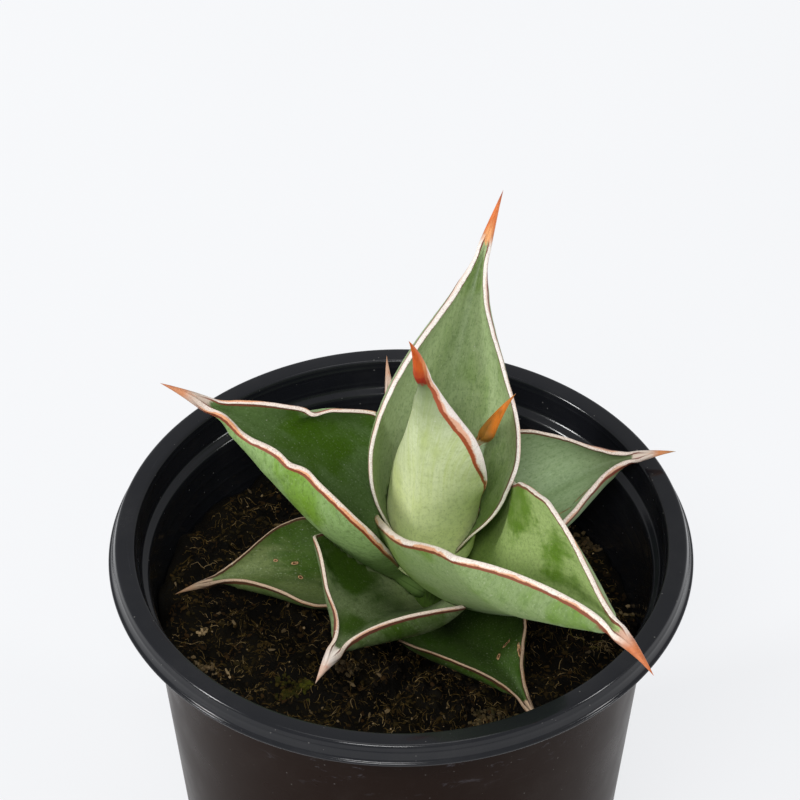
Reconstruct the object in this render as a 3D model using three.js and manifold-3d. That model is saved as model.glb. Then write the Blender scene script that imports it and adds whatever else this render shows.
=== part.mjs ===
// A young walking sansevieria in a round nursery pot.
// Millimetres, +Z up. The origin is the middle of the pot's underside, and the
// side towards -Y is the one that the photograph shows.

import * as THREE from 'three';
import { mergeVertices } from 'three/addons/utils/BufferGeometryUtils.js';
import Module from 'manifold-3d';

const wasm = await Module();
wasm.setup();

const up = new THREE.Vector3(0, 0, 1);
const clearance = 0.3; // left between pieces that rest on or in each other
const giveWay = 1.4; // a leaf's keep-out is this many clearances, as its facets cut corners
const roundSegments = 40; // facets round the pot and the soil

const pot = {
  height: 140,
  ridgeRadius: 76, // outer edge of the flat band on top of the rim
  bandWidth: 5.1, // width of that band
  lipFlare: 0.5, // the lip leans out by this much on its way down
  beadRadius: 77.9, // small bead round the lower edge of the lip
  beadHeight: 134.6,
  beadHalf: 0.5, // half of the bead's own height
  edgeRounding: 0.5,
  shoulderHeight: 131, // the collar steps in to the main wall here
  collarFootRadius: 69.4, // inside of the collar at the shoulder
  mouthRadius: 66, // inside of the main wall just under the shoulder
  footRadius: 53.7, // outside of the main wall at the ground
  wall: 1,
  floor: 1.6,
  cornerRadius: 1.8,
};

const drains = { count: 8, radius: 4.5, sides: 12, ringRadius: 50, reach: 3 }; // reach is how high they cut

const soil = {
  level: 111.2, // height of the surface in the middle
  slope: -0.1, // rise per millimetre towards +X
  rings: 8,
  edgeDrop: 2.2, // the surface falls away from the wall by this much
  edgeWidth: 9,
  bottomChamfer: 1.3,
};
// Lumps in the soil: height, length along X, length along Y, offset
const soilWaves = [
  [1.1, 31, 23, 0.7],
  [0.8, -14, 17, 2.1],
  [0.6, 9, -12, 4.4],
];

// The short stem: radius and height up its side, then the domed top
const stem = {
  x: 9,
  y: 5,
  side: [[5.5, 84], [6.5, 96], [6.5, 110], [6, 117], [5.4, 124], [4.8, 130], [4, 134.5], [2.4, 137]],
  bottom: 80,
  top: 138,
  segments: 16,
};

// Thick roots under the stem: heading, spread and depth of each
const roots = {
  startHeight: 88,
  startRadius: 2.6,
  endRadius: 1.1,
  sides: 6,
  steps: 5,
  bendSpread: 0.6, // a root bends down at this share of its spread
  bendDepth: 0.3, // and this share of its depth
  runs: [[20, 30, 44], [92, 26, 52], [160, 33, 38], [231, 28, 50], [305, 31, 42]],
};

// Points round one leaf section, for each half
const halfSteps = 4;
const bladeSteps = 9; // sections from the foot to just before the spine
const spineBlend = 0.06; // the blade closes into its round spine over this share of the leaf
const lastSection = 0.985;
const grooveStart = 0.4; // how far the keel is already folded, as a share of the fold
const underShare = 0.62; // share of the spine's round that comes from the leaf's under face
const heelShare = 0.85; // width of a leaf's heel beside its foot
const bendPlace = 0.3; // the place along a leaf where its heading holds
const fullestKeel = 0.9; // the keel is at most this share of a half's width
const fullestEdge = 0.6; // and the margin at most this share
const foldDelay = 1.5; // above 1, the blade folds late towards its spine
const spineTaper = 0.85; // below 1, the spine stays full and then runs to its point
const spineEnd = 0.05; // radius left at the point, as a share

// Leaves from the youngest in the middle out to the oldest at the soil.
// heading is the direction in degrees that a leaf grows in, from +X towards +Y.
// turn and curl bend that direction sideways along the leaf.
// foot is the start of the keel on the upper face; length runs along the keel.
// rise is the angle above the horizontal at the foot, the middle and the tip.
// roll turns the blade about its keel, at the foot and at the tip.
// half is the width of one half of the blade, measured over its curve.
// footShare is the share of that width at the foot.
// heel is how far the clasping base reaches back past the foot.
// widest and spineAt are places along the leaf, from 0 to 1.
// fold is how far each half folds up, in degrees, at foot, middle and spine.
// lopsided folds the left half more and the right half less.
// keel and edge are the thickness in the middle and at the margins.
const leaves = {
  leaf_01: {
    heading: 28, turn: -6, curl: -5, foot: [9.5, 2.5, 128.5], length: 57.5, rise: [71, 70.5, 46.5],
    roll: [3, 8.5], half: 9, footShare: 0.7, widest: 0.3, spineAt: 0.7, fold: [85, 70, 106],
    heel: 3, lopsided: 0, spine: 2.1, keel: 3, edge: 1.4, color: 0x8fa878,
  },
  leaf_02: {
    heading: -122.5, turn: -5.5, curl: 2, foot: [4.3, -4.8, 135], length: 85, rise: [88.5, 93.5, 61],
    roll: [9.5, -6], half: 19, footShare: 0.58, widest: 0.28, spineAt: 0.79, fold: [44.5, 53, 105],
    heel: 3, lopsided: 3, spine: 2.3, keel: 3.5, edge: 1.6, color: 0x9fb48a,
  },
  leaf_03: {
    heading: 73.5, turn: -6.5, curl: -11.5, foot: [7.6, 12.9, 126], length: 100, rise: [80, 50.5, 42],
    roll: [3.5, 20.5], half: 31, footShare: 0.6, widest: 0.33, spineAt: 0.835, fold: [77, 51, 62],
    heel: 3, lopsided: 6.5, spine: 1.9, keel: 4.5, edge: 1.8, color: 0x7d9a68,
  },
  leaf_04: {
    heading: -60.5, turn: 3, curl: -7.5, foot: [15.5, -2.5, 127], length: 114, rise: [24, 37.5, -10],
    roll: [-14.5, 22.5], half: 33, footShare: 0.93, widest: 0.55, spineAt: 0.84, fold: [55, 64, 79.5],
    heel: 8, lopsided: 16, spine: 2.2, keel: 5, edge: 2.2, color: 0x829c72,
  },
  leaf_05: {
    heading: 172, turn: 4, curl: -2, foot: [0.5, 7.5, 125], length: 87, rise: [45, 45.5, 22.5],
    roll: [-20.5, -23.5], half: 31, footShare: 0.26, widest: 0.36, spineAt: 0.83, fold: [56, 58.5, 71],
    heel: 9, lopsided: 1, spine: 1.9, keel: 5, edge: 2.2, color: 0x6d8c55,
  },
  leaf_06: {
    heading: 25, turn: -10.5, curl: -9.5, foot: [12, 7, 118], length: 74, rise: [45, 21.5, -8],
    roll: [4, 37.5], half: 21, footShare: 0.6, widest: 0.45, spineAt: 0.84, fold: [63, 41.5, 77],
    heel: 4, lopsided: -2.5, spine: 1.6, keel: 4.5, edge: 1.8, color: 0x71905e,
  },
  leaf_07: {
    heading: 102, turn: -9, curl: -7, foot: [6, 9.5, 114], length: 69.5, rise: [42.5, 22, 11.5],
    roll: [1.5, -0.5], half: 19.5, footShare: 0.6, widest: 0.42, spineAt: 0.8, fold: [73, 39, 81],
    heel: 4, lopsided: 0, spine: 1.5, keel: 4.5, edge: 1.8, color: 0x6a8857,
  },
  leaf_08: {
    heading: -121, turn: 5.5, curl: -1, foot: [5, -3, 117], length: 61.5, rise: [39, 25.5, -22.5],
    roll: [2, -20], half: 27, footShare: 0.54, widest: 0.45, spineAt: 0.82, fold: [52, 31.5, 71],
    heel: 9, lopsided: 5, spine: 2, keel: 4.5, edge: 2, color: 0x5f7f4c,
  },
  leaf_09: {
    heading: 179.5, turn: 11.5, curl: 5.5, foot: [0.5, 0.5, 115], length: 64, rise: [28, 8.5, -24],
    roll: [-3, -3], half: 17.5, footShare: 0.62, widest: 0.42, spineAt: 0.84, fold: [55.5, 27.5, 53.5],
    heel: 4, lopsided: -2, spine: 1.4, keel: 4, edge: 2, color: 0x54733f,
  },
  leaf_10: {
    heading: -59.5, turn: -3.5, curl: -2.5, foot: [9, -3, 113.5], length: 59, rise: [20, 11.5, -22],
    roll: [-1.5, 15], half: 22, footShare: 0.6, widest: 0.31, spineAt: 0.84, fold: [55.5, 25.5, 56.5],
    heel: 4, lopsided: -3.5, spine: 1.5, keel: 4, edge: 2.2, color: 0x4f6f3b,
  },
};

function withoutRepeats(geometry) {
  for (const name of Object.keys(geometry.attributes)) {
    if (name !== 'position') geometry.deleteAttribute(name);
  }
  const merged = mergeVertices(geometry, 1e-4);
  const corners = merged.index.array;
  const kept = [];
  for (let i = 0; i < corners.length; i += 3) {
    const [a, b, c] = [corners[i], corners[i + 1], corners[i + 2]];
    if (a !== b && b !== c && c !== a) kept.push(a, b, c);
  }
  merged.setIndex(kept);
  return merged;
}

function signedVolume(positions, corners) {
  const [a, b, c] = [new THREE.Vector3(), new THREE.Vector3(), new THREE.Vector3()];
  let sum = 0;
  for (let i = 0; i < corners.length; i += 3) {
    a.fromBufferAttribute(positions, corners[i]);
    b.fromBufferAttribute(positions, corners[i + 1]);
    c.fromBufferAttribute(positions, corners[i + 2]);
    sum += a.dot(b.cross(c));
  }
  return sum / 6;
}

function toSolid(geometry) {
  const clean = withoutRepeats(geometry);
  const corners = Array.from(clean.index.array);
  if (signedVolume(clean.attributes.position, corners) < 0) corners.reverse();
  const vertProperties = new Float32Array(clean.attributes.position.array);
  const triVerts = new Uint32Array(corners);
  return new wasm.Manifold(new wasm.Mesh({ numProp: 3, vertProperties, triVerts }));
}

function largestPiece(solid) {
  const pieces = solid.decompose();
  return pieces.reduce((best, piece) => (piece.volume() > best.volume() ? piece : best));
}

function toMesh(name, solid, look) {
  const { vertProperties, triVerts, numProp } = solid.getMesh();
  const geometry = new THREE.BufferGeometry();
  const places = new Float32Array((vertProperties.length / numProp) * 3);
  for (let i = 0; i < places.length / 3; i++) {
    for (let k = 0; k < 3; k++) places[3 * i + k] = vertProperties[numProp * i + k];
  }
  geometry.setAttribute('position', new THREE.BufferAttribute(places, 3));
  geometry.setIndex(Array.from(triVerts));
  geometry.computeVertexNormals();
  const mesh = new THREE.Mesh(geometry, new THREE.MeshStandardMaterial(look));
  mesh.name = name;
  return mesh;
}

function revolve(profile, segments) {
  const points = profile.map(([r, z]) => new THREE.Vector2(r, z));
  return new THREE.LatheGeometry(points, segments).rotateX(Math.PI / 2);
}

// Outside of the main wall at a height
function wallRadius(z) {
  const slope = (pot.mouthRadius + pot.wall - pot.footRadius) / pot.shoulderHeight;
  return pot.footRadius + slope * z;
}

// The pot is thin moulded plastic. Its lip is an upside-down U, open below.
function potProfile() {
  const { height, wall, floor, cornerRadius, beadRadius, beadHeight, beadHalf, shoulderHeight } = pot;
  const round = pot.edgeRounding;
  const corner = cornerRadius * (1 - Math.SQRT1_2);
  const bandInner = pot.ridgeRadius - pot.bandWidth;
  const lipRadius = pot.ridgeRadius + pot.lipFlare;
  const step = pot.collarFootRadius - pot.mouthRadius;
  const underShoulder = shoulderHeight - wall;
  return [
    [0, 0],
    [pot.footRadius - cornerRadius, 0],
    [pot.footRadius - corner, corner],
    [wallRadius(cornerRadius), cornerRadius],
    [wallRadius(underShoulder), underShoulder],
    [wallRadius(underShoulder) + step, shoulderHeight],
    [bandInner + wall, height - wall],
    [pot.ridgeRadius - wall, height - wall],
    [lipRadius - wall, beadHeight - beadHalf],
    [beadRadius - beadHalf / 2, beadHeight - beadHalf],
    [beadRadius, beadHeight - beadHalf / 2],
    [beadRadius, beadHeight + beadHalf / 2],
    [beadRadius - beadHalf / 2, beadHeight + beadHalf],
    [lipRadius, beadHeight + 2 * beadHalf],
    [pot.ridgeRadius, height - round],
    [pot.ridgeRadius - round, height],
    [bandInner + round, height],
    [bandInner, height - round],
    [pot.collarFootRadius, shoulderHeight + wall],
    [pot.mouthRadius, shoulderHeight - wall / 3],
    [wallRadius(floor + wall) - wall, floor + wall],
    [wallRadius(floor) - 2 * wall, floor],
    [0, floor],
  ];
}

function buildPot() {
  let solid = toSolid(revolve(potProfile(), roundSegments));
  const { radius, reach, sides } = drains;
  const drain = new THREE.CylinderGeometry(radius, radius, 2 * reach, sides).rotateX(Math.PI / 2);
  for (let i = 0; i < drains.count; i++) {
    const angle = (2 * Math.PI * (i + 0.5)) / drains.count;
    const x = drains.ringRadius * Math.cos(angle);
    const y = drains.ringRadius * Math.sin(angle);
    solid = solid.subtract(toSolid(drain.clone().translate(x, y, 0)));
  }
  return solid;
}

function soilHeight(x, y) {
  let z = soil.level + soil.slope * x;
  for (const [height, alongX, alongY, offset] of soilWaves) {
    z += height * Math.sin(2 * Math.PI * (x / alongX + y / alongY) + offset);
  }
  const edge = wallRadius(soil.level) - pot.wall - Math.hypot(x, y);
  const near = Math.max(0, 1 - edge / soil.edgeWidth);
  return z - soil.edgeDrop * near * near;
}

function buildSoil() {
  const bottom = pot.floor + clearance;
  const inside = (z) => wallRadius(z) - pot.wall - clearance;
  const rim = inside(soil.level);
  const chamfer = soil.bottomChamfer;
  const profile = [[0, bottom], [inside(bottom) - chamfer, bottom]];
  profile.push([inside(bottom + chamfer), bottom + chamfer]);
  for (let i = soil.rings; i >= 0; i--) profile.push([(rim * i) / soil.rings, soil.level]);
  const geometry = withoutRepeats(revolve(profile, roundSegments));
  const places = geometry.attributes.position;
  for (let i = 0; i < places.count; i++) {
    if (places.getZ(i) < soil.level / 2) continue;
    const [x, y] = [places.getX(i), places.getY(i)];
    const z = soilHeight(x, y);
    const atEdge = Math.hypot(x, y) > rim * (1 - 0.5 / soil.rings);
    const pull = atEdge ? inside(z) / rim : 1; // the edge follows the wall
    places.setXYZ(i, x * pull, y * pull, z);
  }
  return toSolid(geometry);
}

function buildStem(grow) {
  const side = stem.side.map(([r, z]) => [r + grow, z]);
  const profile = [[0, stem.bottom - grow], ...side, [0, stem.top + grow]];
  let solid = toSolid(revolve(profile, stem.segments).translate(stem.x, stem.y, 0));
  for (const run of roots.runs) solid = solid.add(buildRoot(...run, grow));
  return solid;
}

function buildRoot(heading, spread, depth, grow) {
  const direction = new THREE.Vector3(1, 0, 0).applyAxisAngle(up, heading * THREE.MathUtils.DEG2RAD);
  const start = new THREE.Vector3(stem.x, stem.y, roots.startHeight);
  start.addScaledVector(direction, roots.startRadius);
  const bend = start.clone().addScaledVector(direction, spread * roots.bendSpread);
  bend.setZ(roots.startHeight - depth * roots.bendDepth);
  const end = start.clone().addScaledVector(direction, spread).setZ(roots.startHeight - depth);
  const run = new THREE.QuadraticBezierCurve3(start, bend, end);
  const { normals, binormals } = run.computeFrenetFrames(roots.steps);
  const rings = [];
  for (let i = 0; i <= roots.steps; i++) {
    const share = i / roots.steps;
    const radius = THREE.MathUtils.lerp(roots.startRadius, roots.endRadius, share) + grow;
    const centre = run.getPointAt(share);
    const ring = [];
    for (let k = 0; k < roots.sides; k++) {
      const angle = (2 * Math.PI * k) / roots.sides;
      ring.push(centre.clone()
        .addScaledVector(normals[i], radius * Math.cos(angle))
        .addScaledVector(binormals[i], radius * Math.sin(angle)));
    }
    rings.push(ring);
  }
  return toSolid(loft(rings, start, end.clone().addScaledVector(direction, roots.endRadius + grow)));
}

// Joins rings of equal count into a closed skin with a point at each end
function loft(rings, firstPoint, lastPoint) {
  const count = rings[0].length;
  const points = [...rings.flat(), firstPoint, lastPoint];
  const [first, last] = [points.length - 2, points.length - 1];
  const corners = [];
  for (let k = 0; k < count; k++) {
    const next = (k + 1) % count;
    corners.push(first, next, k);
    for (let i = 0; i + 1 < rings.length; i++) {
      const [a, b, c, d] = [i * count + k, i * count + next, (i + 1) * count + k, (i + 1) * count + next];
      corners.push(a, b, c, b, d, c);
    }
    corners.push(last, (rings.length - 1) * count + k, (rings.length - 1) * count + next);
  }
  const geometry = new THREE.BufferGeometry().setFromPoints(points);
  geometry.setIndex(corners);
  return geometry;
}

// The curve through a at 0, b at a half and c at 1
function through([a, b, c], t) {
  return a * (1 - t) * (1 - 2 * t) + b * 4 * t * (1 - t) + c * t * (2 * t - 1);
}

function ease(x) {
  const t = THREE.MathUtils.clamp(x, 0, 1);
  return t * t * (3 - 2 * t);
}

function leafDirection(leaf, t) {
  const past = t - bendPlace;
  const heading = (leaf.heading + leaf.turn * past + leaf.curl * past * past) * THREE.MathUtils.DEG2RAD;
  const rise = through(leaf.rise, t) * THREE.MathUtils.DEG2RAD;
  const flat = new THREE.Vector3(Math.cos(heading), Math.sin(heading), 0);
  const along = flat.multiplyScalar(Math.cos(rise)).setZ(Math.sin(rise));
  return { along, across: new THREE.Vector3(-Math.sin(heading), Math.cos(heading), 0) };
}

// Places the keel by small steps along the leaf's direction
function leafKeel(leaf, places) {
  const fine = 8;
  const keel = [new THREE.Vector3(...leaf.foot)];
  for (let i = 1; i < places.length; i++) {
    const point = keel[i - 1].clone();
    const step = (places[i] - places[i - 1]) / fine;
    for (let k = 0; k < fine; k++) {
      point.addScaledVector(leafDirection(leaf, places[i - 1] + (k + 0.5) * step).along, step * leaf.length);
    }
    keel.push(point);
  }
  return keel;
}

// Width, fold and thickness of the leaf at a place along it
function leafGirth(leaf, t) {
  const before = Math.min(t / leaf.widest, 1);
  const past = THREE.MathUtils.clamp((t - leaf.widest) / (leaf.spineAt - leaf.widest), 0, 1);
  const spineLeft = THREE.MathUtils.clamp((1 - t) / (1 - leaf.spineAt), spineEnd, 1);
  const footWidth = leaf.footShare + (1 - leaf.footShare) * Math.sin((Math.PI / 2) * before);
  const width = t < leaf.widest
    ? leaf.half * footWidth
    : leaf.spine * spineLeft + (leaf.half - leaf.spine) * (1 - ease(past));
  const [foldFoot, foldMiddle, foldTip] = leaf.fold;
  const fold = t < leaf.widest
    ? foldFoot + (foldMiddle - foldFoot) * ease(before)
    : foldMiddle + (foldTip - foldMiddle) * past ** foldDelay;
  const keel = Math.min(leaf.keel, width * fullestKeel);
  const edge = Math.min(leaf.edge, width * fullestEdge);
  const lopsided = leaf.lopsided * (1 - past);
  return { width, fold, keel, edge, lopsided, spine: leaf.spine * spineLeft ** spineTaper };
}

// One half of a section: places across and above the keel on both faces, and
// the rounded margin. side is 1 on the left and -1 on the right.
function halfSection(girth, side, grow) {
  const fold = (girth.fold + side * girth.lopsided) * THREE.MathUtils.DEG2RAD;
  const start = fold * grooveStart;
  const end = fold * (2 - grooveStart);
  const bend = girth.width / (end - start);
  const outer = [];
  const inner = [];
  for (let i = 0; i <= halfSteps; i++) {
    const v = i / halfSteps;
    const angle = start + (end - start) * v;
    const x = bend * (Math.sin(angle) - Math.sin(start));
    const y = bend * (Math.cos(start) - Math.cos(angle));
    const thickness = girth.edge + (girth.keel - girth.edge) * (1 - v * v);
    const [leanX, leanY] = i === 0 ? [0, 1 / Math.cos(start)] : [Math.sin(angle), Math.cos(angle)];
    outer.push([side * (x + (thickness + grow) * leanX), y - (thickness + grow) * leanY]);
    inner.push([side * (x - grow * leanX), y + grow * leanY]);
  }
  const [outX, outY] = outer[halfSteps];
  const [inX, inY] = inner[halfSteps];
  const rounding = girth.edge / 2 + grow;
  const marginX = (outX + inX) / 2 + side * rounding * Math.cos(end);
  const marginY = (outY + inY) / 2 + rounding * Math.sin(end);
  return { outer, inner, margin: [marginX, marginY] };
}

// A whole section, as a ring from the left margin under the keel to the right
// margin and back over the upper face. It closes to a circle in the spine.
function leafSection(leaf, t, grow) {
  const girth = leafGirth(leaf, t);
  const left = halfSection(girth, 1, grow);
  const right = halfSection(girth, -1, grow);
  const under = [left.margin, ...left.outer.toReversed(), ...right.outer.slice(1)];
  const over = [right.margin, ...right.inner.toReversed(), ...left.inner.slice(1)];
  const toSpine = ease((t - leaf.spineAt + spineBlend) / (1.5 * spineBlend));
  const radius = girth.spine + grow;
  return [...under, ...over].map(([x, y], k) => {
    const around = k < under.length ? k / under.length : 1 + (k - under.length) / over.length;
    const share = around < 1 ? underShare * around : underShare + (1 - underShare) * (around - 1);
    const turn = Math.PI * (underShare - 0.5 - 2 * share);
    return [x + (radius * Math.cos(turn) - x) * toSpine, y + (radius * Math.sin(turn) - y) * toSpine];
  });
}

function buildLeaf(leaf, grow) {
  const bladeEnd = leaf.spineAt - spineBlend;
  const places = [];
  for (let i = 0; i <= bladeSteps; i++) places.push((bladeEnd * i) / bladeSteps);
  for (const ahead of [0.5, 1, 1.5]) places.push(bladeEnd + ahead * spineBlend);
  places.push((1 + leaf.spineAt) / 2, lastSection);
  const keel = leafKeel(leaf, [...places, 1]);
  const rings = places.map((t, i) => leafRing(leaf, t, keel[i], grow, 1));
  const heel = keel[0].clone().addScaledVector(leafDirection(leaf, 0).along, -leaf.heel - grow);
  rings.unshift(leafRing(leaf, 0, heel, grow, heelShare));
  const point = keel.at(-1).clone().addScaledVector(leafDirection(leaf, 1).along, 3 * grow);
  return toSolid(closeLeaf(rings, point));
}

function leafRing(leaf, t, centre, grow, share) {
  const { along, across } = leafDirection(leaf, t);
  const above = along.clone().cross(across);
  const roll = THREE.MathUtils.lerp(leaf.roll[0], leaf.roll[1], t) * THREE.MathUtils.DEG2RAD;
  const side = across.clone().multiplyScalar(Math.cos(roll)).addScaledVector(above, Math.sin(roll));
  const face = above.clone().multiplyScalar(Math.cos(roll)).addScaledVector(across, -Math.sin(roll));
  const shape = share === 1 ? leaf : { ...leaf, half: leaf.half * share };
  return leafSection(shape, t, grow).map(([x, y]) => (
    centre.clone().addScaledVector(side, x).addScaledVector(face, y)
  ));
}

// Skin over the rings, a strip across the foot and a point at the tip
function closeLeaf(rings, point) {
  const count = rings[0].length;
  const points = [...rings.flat(), point];
  const last = points.length - 1;
  const corners = [];
  for (let k = 0; k < count; k++) {
    const next = (k + 1) % count;
    for (let i = 0; i + 1 < rings.length; i++) {
      const [a, b, c, d] = [i * count + k, i * count + next, (i + 1) * count + k, (i + 1) * count + next];
      corners.push(a, b, c, b, d, c);
    }
    corners.push(last, (rings.length - 1) * count + k, (rings.length - 1) * count + next);
  }
  const half = count / 2;
  corners.push(0, count - 1, 1, half, half - 1, half + 1);
  for (let k = 1; k < half - 1; k++) {
    const [a, b, c, d] = [k, k + 1, count - k, count - k - 1];
    corners.push(a, c, b, b, c, d);
  }
  const geometry = new THREE.BufferGeometry().setFromPoints(points);
  geometry.setIndex(corners);
  return geometry;
}

// Each leaf wraps round the younger ones, so it gives way to them and to the stem
function buildPlant() {
  const stemSolid = buildStem(0);
  const keepOut = [buildStem(clearance)];
  const pieces = [['crown_stem', stemSolid, { color: 0x7a7f4c, roughness: 0.8 }]];
  for (const [name, leaf] of Object.entries(leaves)) {
    let solid = buildLeaf(leaf, 0);
    for (const other of keepOut) solid = solid.subtract(other);
    pieces.push([name, largestPiece(solid), { color: leaf.color, roughness: 0.55 }]);
    keepOut.push(buildLeaf(leaf, giveWay * clearance));
  }
  let ground = buildSoil();
  for (const other of keepOut) ground = ground.subtract(other);
  pieces.push(['potting_soil', largestPiece(ground), { color: 0x2c211a, roughness: 0.95 }]);
  return pieces;
}

const plantInPot = new THREE.Group();
plantInPot.add(toMesh('nursery_pot', buildPot(), { color: 0x17181a, roughness: 0.3 }));
for (const [name, solid, look] of buildPlant()) plantInPot.add(toMesh(name, solid, look));

export default plantInPot;
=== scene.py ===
# A young walking sansevieria in its nursery pot, on a pale studio floor.
# Sizes are millimetres while a piece is shaped. finishPiece brings its mesh to metres.
import math
import random

import bmesh
import bpy
from mathutils import Matrix, Vector, noise


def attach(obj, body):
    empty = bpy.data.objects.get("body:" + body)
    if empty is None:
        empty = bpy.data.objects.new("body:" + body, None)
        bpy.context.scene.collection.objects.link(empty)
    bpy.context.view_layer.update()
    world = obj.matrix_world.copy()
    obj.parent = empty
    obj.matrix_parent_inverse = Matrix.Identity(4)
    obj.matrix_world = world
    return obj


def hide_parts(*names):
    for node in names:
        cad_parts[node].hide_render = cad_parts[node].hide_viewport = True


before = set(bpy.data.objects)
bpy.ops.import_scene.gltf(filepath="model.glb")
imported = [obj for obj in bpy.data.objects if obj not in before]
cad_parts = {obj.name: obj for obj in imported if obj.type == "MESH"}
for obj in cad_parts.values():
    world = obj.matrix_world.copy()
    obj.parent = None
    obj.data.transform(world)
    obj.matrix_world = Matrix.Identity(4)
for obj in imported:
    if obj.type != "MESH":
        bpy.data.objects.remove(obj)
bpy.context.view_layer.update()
millimetre = 0.001
print("frame loaded:", len(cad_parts), "nodes")


def paint(code):
    # a hex colour as the linear one that the shaders take
    shares = [int(code[i:i + 2], 16) / 255 for i in (1, 3, 5)]
    return tuple(c / 12.92 if c <= 0.04045 else ((c + 0.055) / 1.055) ** 2.4 for c in shares) + (1.0,)


def ease(x):
    t = min(max(x, 0), 1)
    return t * t * (3 - 2 * t)


def mixed(a, b, share):
    return a + (b - a) * share


def through(three, t):
    # the curve through three values, at 0, a half and 1
    a, b, c = three
    return a * (1 - t) * (1 - 2 * t) + b * 4 * t * (1 - t) + c * t * (2 * t - 1)


# Camera, lights and floor
studio = {
    "cameraPlace": (-0.27, -1146.4, 1249.7),
    "cameraTilt": 47.271,  # degrees up from straight down
    "lens": 270,
    "sensor": 36,
    "skyColor": "#f3f5f8",
    "skyStrength": 0.5,
    "floorColor": "#f4f5f7",
    "floorGlow": 0.8,  # the sweep is lit from below, so that it keeps an even white
    "floorHalf": 9000,
    "aim": (0, 0, 120),
    # name, place, width, height, power
    "lights": [
        ("leftBox", (-2900, -900, 1700), 400, 800, 52),
        ("rightBox", (2900, -800, 1600), 500, 1000, 26),
        ("frontFill", (-400, -2200, 2900), 1100, 700, 47),
        ("topLight", (0, 300, 3400), 1600, 1200, 10),
    ],
}


def setUpStudio():
    scene = bpy.context.scene
    camera = addObject("camera", bpy.data.cameras.new("camera"))
    camera.data.sensor_width = studio["sensor"]
    camera.data.lens = studio["lens"]
    camera.data.clip_end = 100
    camera.location = Vector(studio["cameraPlace"]) * millimetre
    camera.rotation_euler = (math.radians(studio["cameraTilt"]), 0, 0)
    scene.camera = camera
    scene.view_settings.view_transform = "Standard"

    world = bpy.data.worlds.new("studioSky")
    world.use_nodes = True
    world.node_tree.nodes["Background"].inputs["Color"].default_value = paint(studio["skyColor"])
    world.node_tree.nodes["Background"].inputs["Strength"].default_value = studio["skyStrength"]
    scene.world = world

    for name, place, width, height, power in studio["lights"]:
        lamp = bpy.data.lights.new(name, "AREA")
        lamp.shape = "RECTANGLE"
        lamp.size = width * millimetre
        lamp.size_y = height * millimetre
        lamp.energy = power
        light = addObject(name, lamp)
        light.location = Vector(place) * millimetre
        toAim = (Vector(studio["aim"]) - Vector(place)).normalized()
        light.rotation_euler = toAim.to_track_quat("-Z", "Y").to_euler()

    bm = bmesh.new()
    bmesh.ops.create_grid(bm, x_segments=1, y_segments=1, size=studio["floorHalf"] * millimetre)
    floor = addObject("floor", meshFrom(bm, "floor"))
    tree, shader = newMaterial("floorPaper")
    grain = addNode(tree, "ShaderNodeTexNoise", {"Scale": 40.0, "Detail": 3.0})
    shade = mapRange(tree, grain.outputs["Fac"], 0.3, 0.7, 0.2, 0.215)
    shader.inputs["Roughness"].default_value = 0.7
    shader.inputs["Specular IOR Level"].default_value = 0.1
    tint = mixColor(tree, shade, "#000000", studio["floorColor"])
    tree.links.new(tint, shader.inputs["Base Color"])
    shader.inputs["Emission Color"].default_value = paint(studio["floorColor"])
    shader.inputs["Emission Strength"].default_value = studio["floorGlow"]
    floor.data.materials.append(bpy.data.materials["floorPaper"])


# Short ways to place shader nodes
def addNode(tree, kind, inputs=None, **settings):
    node = tree.nodes.new(kind)
    for name, value in settings.items():
        setattr(node, name, value)
    for key, value in (inputs or {}).items():
        feed(tree, value, node.inputs[key])
    return node


def feed(tree, value, socket):
    if isinstance(value, bpy.types.NodeSocket):
        tree.links.new(value, socket)
    elif isinstance(value, str):
        socket.default_value = paint(value)
    else:
        socket.default_value = value


def calculate(tree, operation, first, second=0.0, third=0.0):
    return addNode(tree, "ShaderNodeMath", {0: first, 1: second, 2: third}, operation=operation).outputs[0]


def times(tree, first, second):
    return calculate(tree, "MULTIPLY", first, second)


def plus(tree, first, second):
    return calculate(tree, "ADD", first, second)


def minus(tree, first, second):
    return calculate(tree, "SUBTRACT", first, second)


def timesPlus(tree, first, second, third):
    return calculate(tree, "MULTIPLY_ADD", first, second, third)


def mapRange(tree, value, low, high, toLow=0.0, toHigh=1.0, kind="SMOOTHSTEP"):
    inputs = {"Value": value, "From Min": low, "From Max": high, "To Min": toLow, "To Max": toHigh}
    return addNode(tree, "ShaderNodeMapRange", inputs, interpolation_type=kind).outputs["Result"]


def mixColor(tree, share, first, second):
    node = addNode(tree, "ShaderNodeMix", data_type="RGBA")
    feed(tree, share, node.inputs["Factor"])
    feed(tree, first, node.inputs[6])
    feed(tree, second, node.inputs[7])
    return node.outputs[2]


def washed(tree, color, *washes):
    # a colour with others laid over it in turn, each by its share
    for share, tone in washes:
        color = mixColor(tree, share, color, tone)
    return color


def stretched(tree, place, scale, offset=(0, 0, 0)):
    # coordinates multiplied by scale, then moved
    node = addNode(tree, "ShaderNodeVectorMath", {0: place, 1: scale, 2: offset}, operation="MULTIPLY_ADD")
    return node.outputs[0]


def lengthOf(tree, place):
    return addNode(tree, "ShaderNodeVectorMath", {0: place}, operation="LENGTH").outputs["Value"]


def summed(tree, first, second):
    return addNode(tree, "ShaderNodeVectorMath", {0: first, 1: second}, operation="ADD").outputs[0]


def combined(tree, x, y, z):
    return addNode(tree, "ShaderNodeCombineXYZ", {0: x, 1: y, 2: z}).outputs[0]


def separated(tree, place):
    return list(addNode(tree, "ShaderNodeSeparateXYZ", {0: place}).outputs)


def readAttribute(tree, name):
    return addNode(tree, "ShaderNodeAttribute", attribute_name=name).outputs["Vector"]


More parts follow.
